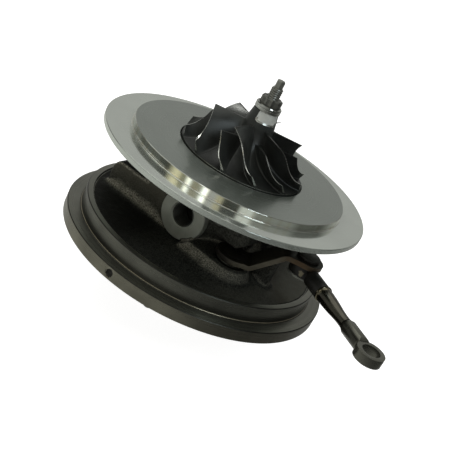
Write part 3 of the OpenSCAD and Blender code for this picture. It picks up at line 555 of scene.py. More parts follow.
def turned_iron(colours):
    """Turned marks; a stained beige side and a darker spigot wall and rim top, with painted shade on the
    side's right and far left and on the wall's foot and left, painted shade on tilted faces and a painted
    highlight on flat tops.
    """
    f = Finish("turned_iron", metallic=0.9)
    x, _, z = f.parts()
    up = f.steepness()
    across = f.math("ADD", f.radius(), f.times(z, 1.37))
    stain = f.span(f.noise(55, 4), 0.35, 0.68)
    side = f.clouded(stain, colours.machined, 0.75, 1.2)
    side = f.mix(f.span(f.noise(240, 5, 0.7), 0.62, 0.75, 0, 0.5), side, colours.cast_brown)
    # Painted shade: the side darkens towards its right and its far left.
    for share in (f.span(x, 0.022, 0.044, 0, 0.65), f.span(x, -0.052, -0.036, 0.3, 0)):
        side = f.mix(share, side, shaded(colours.machined, 0.3))
    wall = f.clouded(stain, colours.spigot, 1.1, 1.7)
    # Painted shade: the spigot wall darkens towards its foot and on the left.
    dark = f.math("MAXIMUM", f.span(z, 0.0066, 0.0082, 0.75, 0), f.span(x, -0.05, -0.02, 0.85, 0))
    wall = f.mix(dark, wall, shaded(colours.spigot, 0.4))
    tone = f.mix(f.span(z, (RIM_T - 0.1) * MM, (RIM_T + 0.1) * MM), side, wall)
    # By facing: painted shade on tilted faces, painted highlight on the flat tops of the rim and land.
    tone = f.mix(f.span(up, 0.3, 0.5), tone, shaded(colours.spigot, 0.35))
    tone = f.mix(f.span(up, 0.85, 0.95), tone, f.clouded(stain, colours.spigot, 1.3, 1.9))
    rough = f.drift(f.lines(across, 900, 4), 0.26, 0.38)
    return f.done(base_color=tone, roughness=rough, normal=f.bump(f.lines(across, 3200, 3), 0.005, 0.5))


def milled_iron(colours):
    f = Finish("milled_iron", metallic=0.7)
    x, _, z = f.parts()
    ring = f.lines(f.reach(x, f.math("SUBTRACT", z, INLET_Z * MM)), 2600, 3)
    tone = f.clouded(f.span(f.noise(160, 4), 0.35, 0.7), colours.milled, 0.88, 1.1)
    return f.done(base_color=tone, roughness=f.drift(ring, 0.42, 0.56), normal=f.bump(ring, 0.008, 0.6))


def plate_flange(colours):
    """Fine turning marks with a few scratches, under a clear sheen."""
    f = Finish("plate_flange", metallic=0.85, coat_weight=0.6, coat_roughness=0.035, coat_ior=2.2)
    rings = f.lines(f.radius(), 2400, 4)
    scratch = f.span(f.noise(1, 4, 0.6, f.stretch((70, 2600, 900), 0.5)), 0.66, 0.72)
    nick = f.span(f.noise(1, 4, 0.6, f.stretch((1900, 90, 900), 0.9)), 0.67, 0.73)
    marks = f.math("MAXIMUM", scratch, nick)
    tone = f.clouded(f.drift(f.noise(38, 4)), colours.plate, 0.88, 1.06)
    tone = f.mix(f.times(marks, 0.45), tone, shaded(colours.plate, 0.45))
    normal = f.bump(f.math("ADD", rings, marks), 0.005, 0.45)
    return f.done(base_color=tone, roughness=f.drift(rings, 0.11, 0.16), normal=normal)


def plate_face(colours):
    f = Finish("plate_face", metallic=0.85, coat_weight=0.4, coat_roughness=0.14, coat_ior=1.7)
    rings = f.lines(f.radius(), 3000, 4)
    tone = f.clouded(f.drift(f.noise(45, 4)), colours.face, 0.95, 1.08)
    return f.done(base_color=tone, roughness=f.drift(rings, 0.26, 0.36), normal=f.bump(rings, 0.006, 0.45))


def plate_band(colours):
    f = Finish("plate_band", metallic=1.0)
    rings = f.lines(f.parts()[2], 5200, 4)
    tone = f.mix(f.span(f.lines(f.angle(), 17, 3), 0.45, 0.62, 0, 0.3), colours.bright, colours.straw)
    return f.done(base_color=tone, roughness=f.drift(rings, 0.04, 0.08), normal=f.bump(rings, 0.001, 0.3))


def wheel_cast(colours):
    f = Finish("wheel_satin", metallic=0.3, specular_ior_level=0.35)
    cloud = f.noise(140, 4)
    tone = f.clouded(f.drift(cloud), colours.wheel, 0.8, 1.25)
    # Painted shade: faces that look up, such as the hub's disc, are darkened.
    tone = f.mix(f.span(f.steepness(), 0.85, 0.97, 0, 0.6), tone, shaded(colours.wheel, 0.3))
    pores = f.bump(f.noise(2600, 2), 0.02, 0.5)
    return f.done(base_color=tone, roughness=f.drift(cloud, 0.3, 0.42), normal=pores)


def lever_steel(colours):
    """Dark faces and pale edges, with a heat tint at the outer bend and a painted shadow on the edges behind
    the pivot.
    """
    f = Finish("lever_steel", metallic=0.6)
    edge = f.span(f.math("ABSOLUTE", f.steepness()), 0.35, 0.8, 1.0, 0.0)
    start = (PIVOT[0] * cos(LEVER_AZ) + PIVOT[1] * sin(LEVER_AZ)) * MM
    along = f.math("SUBTRACT", f.split(f.stretch((1, 1, 1), -LEVER_AZ))[0], start)
    heat = f.times(f.span(along, 0.014, 0.02), f.span(along, 0.023, 0.031, 1.0, 0.0))
    cloud = f.noise(260, 5, 0.65)
    dark = f.clouded(f.span(cloud, 0.35, 0.7), colours.lever, 0.25, 0.5)
    pale = f.clouded(f.drift(cloud), colours.lever, 1.1, 1.8)
    pale = f.mix(f.times(heat, 0.9), pale, colours.heat)
    # Painted shadow: the pale edges darken behind the pivot.
    pale = f.mix(f.span(along, -0.003, 0.001, 0.9, 0), pale, shaded(colours.lever, 0.1))
    rolled = f.bump(f.noise(1, 3, 0.6, f.stretch((200, 200, 4200))), 0.02, 0.5)
    return f.done(base_color=f.mix(edge, dark, pale), roughness=f.drift(cloud, 0.32, 0.5), normal=rolled)


def sleeve_black(colours):
    """Black, with one spot worn to the metal."""
    f = Finish("black_sleeve")
    fine = f.noise(1400, 3)
    black = f.clouded(f.drift(f.noise(180, 5, 0.6)), colours.sleeve, 0.65, 1.3)
    ragged = f.math("ADD", f.distance(WORN_SPOT), f.times(f.noise(700, 3), 0.003))
    worn = f.span(ragged, 0.0021, 0.0026, 1, 0)
    return f.done(
        base_color=f.mix(worn, black, shaded(colours.straw, 0.3)),
        metallic=f.span(worn, 0, 1, 0.3, 0.8),
        roughness=f.drift(fine, 0.34, 0.5),
        normal=f.bump(fine, 0.02, 0.5),
    )


def forged_steel(colours):
    """Gunmetal, with a painted highlight on top and round the outer eye."""
    f = Finish("forged_gunmetal", metallic=0.85)
    cloud = f.noise(180, 5, 0.6)
    # Painted highlight: faces that look up are paler.
    tone = f.clouded(f.span(f.steepness(), 0.6, 0.95), colours.gunmetal, 0.8, 2.1)
    tone = f.mix(f.drift(cloud, 0, 0.2), tone, shaded(colours.gunmetal, 0.5))
    # Painted highlight round the outer eye.
    eye = f.span(f.distance(OUTER_EYE), 0.0052, 0.0062, 0.8, 0)
    tone = f.mix(eye, tone, shaded(colours.gunmetal, 2.1))
    return f.done(base_color=tone, roughness=f.drift(cloud, 0.22, 0.3), normal=f.bump(cloud, 0.004, 0.3))


def rubber(colours):
    f = Finish("seal_rubber", roughness=0.6)
    fine = f.noise(1500, 2)
    tone = f.mix(fine, (0.012, 0.012, 0.012), (0.03, 0.03, 0.03))
    return f.done(base_color=tone, normal=f.bump(fine, 0.02, 0.4))


def bright_metal(name, tone, low, high, metallic=1.0):
    """Brushed or polished metal, between two values of roughness."""
    f = Finish(name, metallic=metallic)
    brush = f.noise(1, 3, 0.6, f.stretch((500, 500, 2600)))
    colour = f.clouded(f.drift(f.noise(320, 4)), tone, 0.85, 1.08)
    return f.done(base_color=colour, roughness=f.drift(brush, low, high), normal=f.bump(brush, 0.008, 0.5))


def dull_metal(name, tone, low=0.35, high=0.55, metallic=0.8, grain=900):
    """Clouded metal with a fine grain, between two values of roughness."""
    f = Finish(name, metallic=metallic)
    colour = f.clouded(f.drift(f.noise(180, 5, 0.6)), tone, 0.65, 1.3)
    fine = f.noise(grain, 3)
    return f.done(base_color=colour, roughness=f.drift(fine, low, high), normal=f.bump(fine, 0.02, 0.5))


# Finishes with a function of their own
CRAFTED = {
    "cast": cast_iron,
    "turned": turned_iron,
    "milled": milled_iron,
    "flange": plate_flange,
    "face": plate_face,
    "band": plate_band,
    "wheel": wheel_cast,
    "lever": lever_steel,
    "sleeve": sleeve_black,
    "gunmetal": forged_steel,
    "rubber": rubber,
}
# Plain metals: maker, name, colour, its shade, then roughness from and to, metallic and grain
METALS = {
    "edge": (bright_metal, "blade_edge", "bright", 0.7, 0.2, 0.34),
    "line": (bright_metal, "rim_line", "straw", 0.4, 0.25, 0.4, 0.5),
    "ground": (bright_metal, "ground_flat", "bright", 0.75, 0.4, 0.55, 0.3),
    "chrome": (bright_metal, "nut_plating", "bright", 0.62, 0.03, 0.07),
    "nut": (dull_metal, "nut_steel", "steel", 0.6, 0.25, 0.4),
    "shaft": (dull_metal, "shaft_steel", "steel", 1.1, 0.3, 0.45),
    "rod": (bright_metal, "polished_rod", "rod", 1.25, 0.12, 0.24),
    "collar": (bright_metal, "rod_collar", "straw", 0.22, 0.08, 0.18),
    # The bush's steel is darkened to near black: painted shade under the lever.
    "bush": (bright_metal, "bush_steel", "steel", 0.15, 0.12, 0.2),
    "rivet": (dull_metal, "rivet_black", "lever", 0.2, 0.4, 0.55, 0.5),
    "pin": (dull_metal, "pin_steel", "steel", 0.7),
    # The thread is darkened to near black: painted shade inside the oil bore.
    "thread": (dull_metal, "inlet_thread", "milled", 0.14, 0.4, 0.6, 0.5),
    "bolt": (dull_metal, "bolt_black", "steel", 0.35, 0.4, 0.6),
    "bronze": (bright_metal, "bearing_bronze", (0.55, 0.38, 0.17), 1, 0.2, 0.36),
    "grey": (bright_metal, "ground_steel", (0.5, 0.5, 0.5), 1, 0.16, 0.3),
    "shield": (dull_metal, "shield_sheet", (0.3, 0.27, 0.23), 1, 0.3, 0.5),
    "nickel": (dull_metal, "nickel_casting", (0.2, 0.175, 0.15), 1, 0.34, 0.52, 0.85, 1600),
    "dowel": (dull_metal, "dowel_steel", (0.012, 0.011, 0.01), 1, 0.4, 0.6),
}
MADE = {}


def finish(name):
    """A finish by name, made on first use from the panel's colours."""
    colours = bpy.context.scene.cartridge_colours
    if name not in MADE:
        if name in CRAFTED:
            MADE[name] = CRAFTED[name](colours)
        else:
            maker, label, colour, factor, *rest = METALS[name]
            tone = getattr(colours, colour) if isinstance(colour, str) else colour
            MADE[name] = maker(label, shaded(tone, factor), *rest)
    return MADE[name]


# ------------------------------------------------------------------ settings


def colour_setting(name, value, description):
    return FloatVectorProperty(
        name=name, description=description, default=value, subtype="COLOR", min=0, max=1
    )


def length_setting(name, value, description):
    return FloatProperty(name=name, description=description, default=value, unit="LENGTH", precision=6)


def count_setting(name, value, description):
    return IntProperty(name=name, description=description, default=value, min=0)


class CartridgeColours(bpy.types.PropertyGroup):
    """Base colours of the finishes."""

    cast: colour_setting("Cast iron", (0.017, 0.0177, 0.0148), "Black sand-cast iron")
    cast_brown: colour_setting("Cast iron, brown", (0.06, 0.058, 0.043), "Brown tint on the casting's walls")
    # Sandy grain with a painted highlight on the slopes, also the painted pool of light on the deck's
    # corner.
    sand_and_highlight: colour_setting("Cast iron, sand and highlight", (0.31, 0.3, 0.24), "Pale grain on the casting's slopes")
    machined: colour_setting("Turned iron", (0.19, 0.185, 0.146), "Machined rim and spigot")
    spigot: colour_setting("Turned iron, dark", (0.095, 0.096, 0.081), "Dark oxide on spigot and rim")
    milled: colour_setting("Milled iron", (0.27, 0.285, 0.245), "Milled face of the oil inlet")
    plate: colour_setting("Plate", (0.53, 0.575, 0.52), "Satin flange of the plate")
    face: colour_setting("Plate face", (0.205, 0.231, 0.206), "Matt face around the wheel")
    bright: colour_setting("Bright metal", (0.74, 0.76, 0.71), "Polished and machined edges")
    straw: colour_setting("Straw tint", (0.58, 0.52, 0.36), "Warm streaks on polished metal")
    wheel: colour_setting("Wheel", (0.036, 0.039, 0.036), "Satin compressor wheel")
    steel: colour_setting("Steel", (0.23, 0.235, 0.21), "Nut and shaft")
    lever: colour_setting("Lever", (0.055, 0.05, 0.036), "Edge of the lever")
    heat: colour_setting("Heat tint", (0.06, 0.036, 0.016), "Bronze tint at the lever's bend")
    sleeve: colour_setting("Sleeve", (0.007, 0.007, 0.0058), "Black sleeve of the link")
    rod: colour_setting("Rod", (0.06, 0.057, 0.047), "Polished rod of the link")
    gunmetal: colour_setting("Gunmetal", (0.06, 0.06, 0.05), "Outer end of the link")


class CartridgeSizes(bpy.types.PropertyGroup):
    """Sizes of what the looks add to the frame."""

    voxel: length_setting("Casting detail", 0.0006, "Grid of the casting's skin")
    fillet_passes: count_setting("Fillets", 180, "Passes that fill inner corners")
    round_passes: count_setting("Rounded edges", 5, "Passes that round outer edges")
    grain: length_setting("Casting grain", 0.00007, "Height of the lumps")
    thread_pitch: length_setting("Shaft thread", 0.0008, "Pitch of the shaft's thread")
    inlet_pitch: length_setting("Inlet thread", 0.001, "Pitch of the oil inlet's thread")
    edge_break: length_setting("Broken edges", 0.00022, "Width of the broken edges")


# ------------------------------------------------------------------ housing


def inlet_place():
    """Turns a shape along Z into one along the oil inlet."""
    return Matrix.Translation((0, 0, INLET_Z)) @ Matrix.Rotation(pi / 2, 4, "X")


def vertex_normals(points, quads):
    """Normals of a mesh of quads, from the cross product of each face's diagonals."""
    face = np.cross(points[quads[:, 2]] - points[quads[:, 0]], points[quads[:, 3]] - points[quads[:, 1]])
    total = np.zeros_like(points)
    for k in range(4):
        np.add.at(total, quads[:, k], face)
    return total / np.maximum(np.linalg.norm(total, axis=1, keepdims=True), 1e-12)


def relax(points, edges, quads, passes, share, hold, inner_only):
    """Moves points towards their neighbours' mean, in inner corners only or everywhere."""
    count = np.zeros(len(points))
    for k in (0, 1):
        np.add.at(count, edges[:, k], 1)
    for i in range(passes):
        mean = np.zeros_like(points)
        np.add.at(mean, edges[:, 0], points[edges[:, 1]])
        np.add.at(mean, edges[:, 1], points[edges[:, 0]])
        move = mean / count[:, None] - points
        weight = share * hold
        if inner_only:
            if i % 6 == 0:
                normals = vertex_normals(points, quads)
            weight = weight * ((move * normals).sum(1) > 0)
        points = points + move * weight[:, None]
    return points


class CARTRIDGE_OT_casting(bpy.types.Operator):
    """Skins the cast body with filleted corners and a sandy surface"""

    bl_idname = "cartridge.casting"
    bl_label = "Cast body"

    @staticmethod
    def free_part(points):
        """1 where the skin may move, 0 at the turned part, the seats and the holes."""
        x, y, z = points.T / MM
        holes = (
            (np.hypot(x, z - INLET_Z) < 6.0) & (y < 0),
            (np.hypot(x, z - INLET_Z) < 10.4) & (y < -20.9),
            (np.hypot(x, z - DRAIN_Z) < 7.8) & (y > 0),
            (np.hypot(np.abs(x) - DRAIN_BOLT_X, z - DRAIN_Z) < 3.3) & (y > 0),
            (np.hypot(y - BRACKET_HOLE_Y, z - BRACKET_HOLE_Z) < 4.2) & (x < -20),
            np.hypot(x - PIVOT[0], y - PIVOT[1]) < 5.4,
        )
        free = (z > DECK_Z - 0.6) & (z < SEAT_UNDER_Z + 1) & (np.hypot(x, y) > 12)
        return (free & ~np.logical_or.reduce(holes)).astype(float)

    def execute(self, context):
        sizes = context.scene.cartridge_sizes
        obj = joined_copy("bearing_housing", "housing_casting")
        inner_r, low, high = SPIGOT_R - LAND_W - 0.1, 8.0, 45
        core = lathe("core", [(0, low, 0), (inner_r, low, 0), (inner_r, high, 0), (0, high, 0)], [])
        bore_r, bore_end, spot_r, spot_end, out = 5.1, 14.7, 9.7, 24.0, 40
        spot = [
            (0, bore_end, 0), (bore_r, bore_end, 0), (bore_r, spot_end, 0),
            (spot_r, spot_end, 0), (spot_r, out, 0), (0, out, 0),
        ]
        spot = lathe("spot", spot, [], place=inlet_place())
        cut_by(obj, core, "INTERSECT")
        cut_by(obj, spot)
        skin = obj.modifiers.new("skin", "REMESH")
        skin.mode, skin.voxel_size = "VOXEL", sizes.voxel
        baked(obj)
        bpy.data.objects.remove(core)
        bpy.data.objects.remove(spot)
        mesh = obj.data
        if len(mesh.polygons) < 1000:
            raise RuntimeError("the casting's skin is empty")
        points = np.zeros(len(mesh.vertices) * 3)
        mesh.vertices.foreach_get("co", points)
        points = points.reshape(-1, 3)
        quads = np.array([p.vertices[:] for p in mesh.polygons if len(p.vertices) == 4])
        edges = np.array([e.vertices[:] for e in mesh.edges])
        free = self.free_part(points)
        points = relax(points, edges, quads, sizes.round_passes, 0.5, free, False)
        points = relax(points, edges, quads, sizes.fillet_passes, 0.6, free, True)
        points = relax(points, edges, quads, 2, 0.4, np.ones(len(points)), False)
        normals = vertex_normals(points, quads)
        lump = np.array([noise.noise(Vector(p) * 520) + 0.6 * noise.noise(Vector(p) * 1150) for p in points])
        points += normals * (lump * free * sizes.grain)[:, None]
        mesh.vertices.foreach_set("co", points.ravel())
        wear(mesh, finish("cast"))
        shade(mesh, 180)
        keep(obj, "housing", "cast_housing", "bearing_housing")
        return {"FINISHED"}


class CARTRIDGE_OT_flange(bpy.types.Operator):
    """Turns the rim, spigot, land and vane cavity, with a chip in the rim"""

    bl_idname = "cartridge.flange"
    bl_label = "Turned flange"

    def execute(self, context):
        land_in, land_z = SPIGOT_R - LAND_W, DECK_Z + LAND_H
        foot, chamfer = 0.25, 0.3
        profile = [
            (SEAL_BORE_R, NOSE_Z, 0),
            (NOSE_R, NOSE_Z, 0),
            (NOSE_R, CAVITY_Z, 0),
            (CAVITY_R, CAVITY_Z, 0),
            (CAVITY_R, 0, 0),
            (RIM_R, 0, 0),
            (RIM_R, RIM_T - chamfer, 0),
            (RIM_R - chamfer, RIM_T, 0),
            (SPIGOT_R + 0.5, RIM_T, 0),
            (SPIGOT_R + 0.2, RIM_T + foot, 1),
            (SPIGOT_R, RIM_T + 2 * foot, 0),
            (SPIGOT_R, land_z - chamfer, 0),
            (SPIGOT_R - chamfer, land_z, 0),
            (land_in, land_z, 0),
            (land_in - 0.35, DECK_Z - 0.3, 0),
            (SEAL_BORE_R, DECK_Z - 0.6, 0),
        ]
        # The rim has finer steps where the chip is
        chip_az, reach, chip_r, chip_d = radians(-91), radians(2.9), 1.8, 0.9
        coarse, fine = 240, 24
        angles = [TURN * k / coarse for k in range(coarse)]
        angles = [a for a in angles if abs((a - chip_az + pi) % TURN - pi) > reach]
        angles += [(chip_az + reach * (2 * k / fine - 1)) % TURN for k in range(fine + 1)]
        angles.sort()
        rounded = eased(profile, 0.16)
        at = next(i for i, p in enumerate(rounded) if p[0] > RIM_R - 1e-4 and p[1] > 0.1)
        low = rounded[at][1]
        rounded[at + 1:at + 1] = [(RIM_R, low + (RIM_T - 0.7 - low) * k / 10, 0) for k in range(1, 10)]
        looks = [finish("turned"), finish("line"), finish("rivet")]
        obj = lathe("housing_flange", rounded, looks, angles, sharp=12)
        chip = around(RIM_R, chip_az, RIM_T / 2) * MM
        for vert in obj.data.vertices:
            near = (vert.co - chip).length / MM
            if hypot(vert.co.x, vert.co.y) > (RIM_R - 0.01) * MM and near < chip_r:
                inward = Vector((vert.co.x, vert.co.y, 0)).normalized()
                wobble = 1 + 0.5 * noise.noise(vert.co * 1400)
                vert.co -= inward * chip_d * MM * max(0.0, 1 - (near / chip_r) ** 2) * wobble
        for face in obj.data.polygons:
            if (face.center - chip).length < (1.45 + 0.5 * noise.noise(face.center * 900)) * MM:
                face.material_index = 2
        keep(obj, "housing", "cast_housing")
        return {"FINISHED"}


class CARTRIDGE_OT_inlet(bpy.types.Operator):
    """Mills the oil inlet's face and cuts its thread"""

    bl_idname = "cartridge.inlet"
    bl_label = "Oil inlet"

    def execute(self, context):
        pitch = context.scene.cartridge_sizes.inlet_pitch / MM
        place = inlet_place()
        out_r, hole_r, face, back = 9.5, 4.5, 24.03, 14.5
        ring = [
            (out_r - 0.25, face, 0),
            (out_r, face - 0.25, 0),
            (out_r, face - 3, 0),
            (hole_r, face - 3, 0),
            (hole_r, face - 0.5, 0),
            (hole_r + 0.5, face, 0),
        ]
        obj = lathe("inlet_ring", ring, [finish("milled")], segments=128, place=place, sharp=12)
        keep(obj, "housing", "cast_housing")
        seg, depth, end = 72, 0.45, face - 0.45

        def cut(z, k):
            return hole_r + 0.02 - depth * (1 - abs(2 * ((z / pitch - k / seg) % 1.0) - 1))

        count = int((face - 0.5 - back) / pitch * 6)
        heights = [back + (end - back) * i / count for i in range(count + 1)]
        points = [around(cut(z, k), TURN * k / seg, z) for z in heights for k in range(seg)]
        points += [around(hole_r + 0.25, TURN * k / seg, z) for z in (end, back) for k in range(seg)]
        faces = ring_faces(len(heights) + 2, seg, closed=True)
        obj = body_mesh("inlet_thread", [place @ p for p in points], faces, [finish("thread")], sharp=50)
        keep(obj, "housing", "cast_housing")
        return {"FINISHED"}


# ------------------------------------------------------------------ compressor plate


class CARTRIDGE_OT_plate(bpy.types.Operator):
    """Turns the compressor plate with its raised register"""

    bl_idname = "cartridge.plate"
    bl_label = "Compressor plate"

    def execute(self, context):
        flange, face, band = 0, 1, 2
        groove = 0.16
        profile = [
            (SEAL_BORE_R, PILOT_Z, flange),
            (PILOT_R, PILOT_Z, flange),
            (PILOT_R, SEAT_Z, flange),
            (PLATE_R - 0.3, SEAT_Z, flange),
            (PLATE_R, SEAT_Z + 0.3, flange),
            (PLATE_R, PLATE_TOP_Z - 0.25, flange),
            (PLATE_R - 0.25, PLATE_TOP_Z, flange),
            (LIP_R + 0.15, PLATE_TOP_Z, band),
            (LIP_R, PLATE_TOP_Z + 0.15, band),
            (LIP_R, LIP_TOP_Z, band),
            (REGISTER_R - groove, LIP_TOP_Z, band),
            (REGISTER_R - groove, LIP_TOP_Z + groove, band),
            (REGISTER_R, LIP_TOP_Z + groove, band),
            (REGISTER_R, FACE_Z - 0.2, band),
            (REGISTER_R - 0.2, FACE_Z, face),
            (RECESS_R + 0.1, FACE_Z, face),
            (RECESS_R, FACE_Z - 0.1, face),
            (RECESS_R, RECESS_Z, face),
            (SEAL_BORE_R, RECESS_Z, face),
        ]
        looks = [finish("flange"), finish("face"), finish("band")]
        obj = lathe("plate_disc", eased(profile, 0.1), looks, segments=256, sharp=10)
        keep(obj, "housing", "turned_plate", "compressor_backplate")
        return {"FINISHED"}


class CARTRIDGE_OT_bolts(bpy.types.Operator):
    """Sets the plate's bolts under the housing's upper flange"""

    bl_idname = "cartridge.bolts"
    bl_label = "Plate bolts"

    def execute(self, context):
        head_r, head_h, washer_t, shank_r, shank_h = 4.5, 3.4, 0.6, 2.5, 9.1
        rows = [
            (-head_h, hexagon(head_r * 0.82)),
            (-head_h + 0.35, hexagon(head_r * 0.98)),
            (-washer_t - 0.02, hexagon(head_r)),
            (-washer_t, head_r - 0.2),
            (-washer_t + 0.15, head_r),
            (-0.05, head_r),
            (0, head_r - 0.05),
            (0.02, shank_r),
            (shank_h, shank_r),
        ]
        one = spun("bolt", rows, [finish("bolt")], segments=48)
        mesh = bpy.data.meshes.new("bolt_places")
        spots = [around(BOLT_CIRCLE_R, radians(a), SEAT_UNDER_Z) * MM for a in BOLT_ANGLES]
        mesh.from_pydata(spots, [], [])
        obj = placed("plate_bolts", mesh)
        set_on_points(obj, one, finish("bolt"))
        bpy.data.objects.remove(one)
        if len(obj.data.polygons) < 100:
            raise RuntimeError("the bolts are missing")
        keep(obj, "housing", "plate_bolts", "backplate_bolts")
        return {"FINISHED"}


# ------------------------------------------------------------------ wheels


def wheel_root(t):
    return (
        HUB_R + (WHEEL_R - HUB_R) * (1 - cos(t)),
        WHEEL_HUB_Z + (INDUCER_Z - WHEEL_HUB_Z) * (1 - sin(t)),
    )


def wheel_tip(t):
    return (
        INDUCER_R + (WHEEL_R - INDUCER_R) * (1 - cos(t)),
        WHEEL_HUB_Z + OUTLET_B + (INDUCER_Z - WHEEL_HUB_Z - OUTLET_B) * (1 - sin(t)),
    )


def turbine_root(t):
    return (
        TURBINE_HUB_R + (TURBINE_R - TURBINE_HUB_R) * (1 - sin(t)),
        TURBINE_FRONT_Z - TURBINE_LEN * (1 - cos(t)),
    )


def turbine_tip(t):
    return (
        EXDUCER_R + (TURBINE_R - EXDUCER_R) * (1 - sin(t)),
        TURBINE_FRONT_Z - TURBINE_INLET_B - (TURBINE_LEN - TURBINE_INLET_B) * (1 - cos(t)),
    )


def blade_point(root, tip, s, az, side, thick):
    """A point on a blade's side, at a share of the span from root to tip."""
    r, z = lerp(root[0], tip[0], s), lerp(root[1], tip[1], s)
    return around(r, az + side * thick / 2 / r, z)


def turn_share(t):
    """Share of a blade's turn at a station: quick in the inlet, then steady."""
    degrees = t * 180 / pi
    return 0.6 * degrees / 90 + 0.4 * (1 - exp(-degrees / 16))


def wheel_point(t, s, side):
    az = radians(WHEEL_AZ + lerp(*BLADE_TURN, s) * turn_share(t))
    flare = 0.9 * exp(-max(s, 0) / 0.05)
    thick = lerp(*BLADE_T, 2 * t / pi) * (lerp(1.0, BLADE_TIP, s) + flare)
    thick *= 0.55 + 0.45 * min(1, t / 0.25)
    return blade_point(wheel_root(t), wheel_tip(t), s, az, side, thick)


def turbine_point(t, s, side):
    az = TURBINE_TURN * (2 * t / pi) ** 2
    thick = lerp(1, 1.4, 2 * t / pi) * (lerp(1.8, 0.9, s) + 0.8 * exp(-max(s, 0) / 0.06))
    return blade_point(turbine_root(t), turbine_tip(t), s, az, side, thick)


def blade_mesh(point, first, last, stations, spans, turn, crowd):
    """Points, faces and machined marks of one closed blade."""
    points, faces, marks = [], [], []
    rotate = Matrix.Rotation(turn, 3, "Z")
    for i in range(stations + 1):
        t = first + (last - first) * (i / stations) ** crowd
        for s in spans:
            for side in (1, -1):
                points.append(rotate @ point(t, s, side))
    m = len(spans)

    def add(machined, *corners):
        faces.append(tuple((i * m + j) * 2 + k for i, j, k in corners))
        marks.append(machined)

    top, end = m - 1, stations
    for i in range(stations):
        n = i + 1
        for j in range(top):
            add(False, (i, j, 0), (n, j, 0), (n, j + 1, 0), (i, j + 1, 0))
            add(False, (i, j, 1), (i, j + 1, 1), (n, j + 1, 1), (n, j, 1))
        add(False, (i, 0, 0), (i, 0, 1), (n, 0, 1), (n, 0, 0))
        add(True, (i, top, 0), (n, top, 0), (n, top, 1), (i, top, 1))
    for j in range(top):
        add(False, (0, j, 0), (0, j + 1, 0), (0, j + 1, 1), (0, j, 1))
        add(j > 4, (end, j, 0), (end, j, 1), (end, j + 1, 1), (end, j + 1, 0))
    return points, faces, marks


def blade_host(name, blades):
    """One object with a sector's blades and a face attribute for what the lathe has touched."""
    points, faces, marks = [], [], []
    for p, f, k in blades:
        faces += [tuple(v + len(points) for v in quad) for quad in f]
        points += p
        marks += k
    mesh = bpy.data.meshes.new(name)
    mesh.from_pydata([p * MM for p in points], [], faces)
    flag = mesh.attributes.new("machined", "BOOLEAN", "FACE")
    flag.data.foreach_set("value", marks)
    edited(mesh, lambda bm: bmesh.ops.recalc_face_normals(bm, faces=bm.faces))
    return placed(name, mesh)


class CARTRIDGE_OT_compressor_wheel(bpy.types.Operator):
    """Builds the compressor wheel: hub, full blades and splitter blades"""

    bl_idname = "cartridge.compressor_wheel"
    bl_label = "Compressor wheel"

    def execute(self, context):
        flat_az, flat_half, flat_d, flat_z = radians(-42), radians(50), 0.4, HUB_NOSE_Z - 4
        back_r = 7.5

        def inside(z, a):
            """Distance in from the ground flat's rounded outline."""
            away = abs((a - flat_az + pi) % TURN - pi)
            u, v, corner = (flat_half - away) * HUB_NOSE_R, z - flat_z, 1.3
            if u < corner and v < corner:
                return corner - hypot(corner - u, corner - v)
            return min(u, v)

        def nose(z, limit):
            return lambda a: limit - flat_d * min(1, max(0, inside(z, a) / 0.8))

        def taper(z):
            return lerp(HUB_R, HUB_NOSE_R - 0.4, (z - INDUCER_Z) / (HUB_NOSE_Z - INDUCER_Z))

        def look(low, high, a):
            """Which finish a face has: satin, ground flat or bright edge."""
            deep = inside((low + high) / 2, a)
            if deep > 0 and low >= flat_z - 1e-6:
                return 2 if deep < 0.55 and low < flat_z + 1.3 else 1
            return 2 if WHEEL_HUB_Z - 0.2 < low < WHEEL_HUB_Z - 0.1 else 0

        rows = [
            (WHEEL_BOTTOM_Z, back_r - 0.1), (WHEEL_BOTTOM_Z + 0.1, back_r),
            (WHEEL_BACK_Z, back_r), (WHEEL_BACK_Z, WHEEL_R - 0.1),
            (WHEEL_BACK_Z + 0.1, WHEEL_R), (WHEEL_HUB_Z - 0.15, WHEEL_R),
        ]
        rows += [wheel_root(pi / 2 * (1 - k / 44))[::-1] for k in range(45)]
        rows += [(z, taper(z)) for z in (lerp(INDUCER_Z, flat_z, k / 6) for k in range(1, 7))]
        grind = [flat_z + k * 0.14 for k in range(1, 12)] + [lerp(flat_z, HUB_NOSE_Z, 0.6), HUB_NOSE_Z - 0.1]
        rows += [(z, nose(z, taper(z))) for z in grind]
        rows += [(HUB_NOSE_Z, nose(HUB_NOSE_Z, taper(HUB_NOSE_Z) - 0.1))]
        looks = [finish("wheel"), finish("ground"), finish("edge")]
        hub = spun("wheel_hub", rows, looks, segments=240, sharp=38, finish=look)
        keep(hub, "rotor", "wheel_alloy", "compressor_wheel")
        spans = [-0.08, 0, 0.03, 0.07, 0.13, 0.25, 0.4, 0.55, 0.7, 0.85, 0.95, 1]
        full = blade_mesh(wheel_point, 0, pi / 2, 34, spans, 0, 1.25)
        split = blade_mesh(wheel_point, radians(21), pi / 2, 28, spans, radians(30), 1.1)
        obj = blade_host("wheel_blades", [full, split])
        ring_of(obj, 6, finish("wheel"), finish("edge"))
        keep(obj, "rotor", "wheel_alloy")
        return {"FINISHED"}


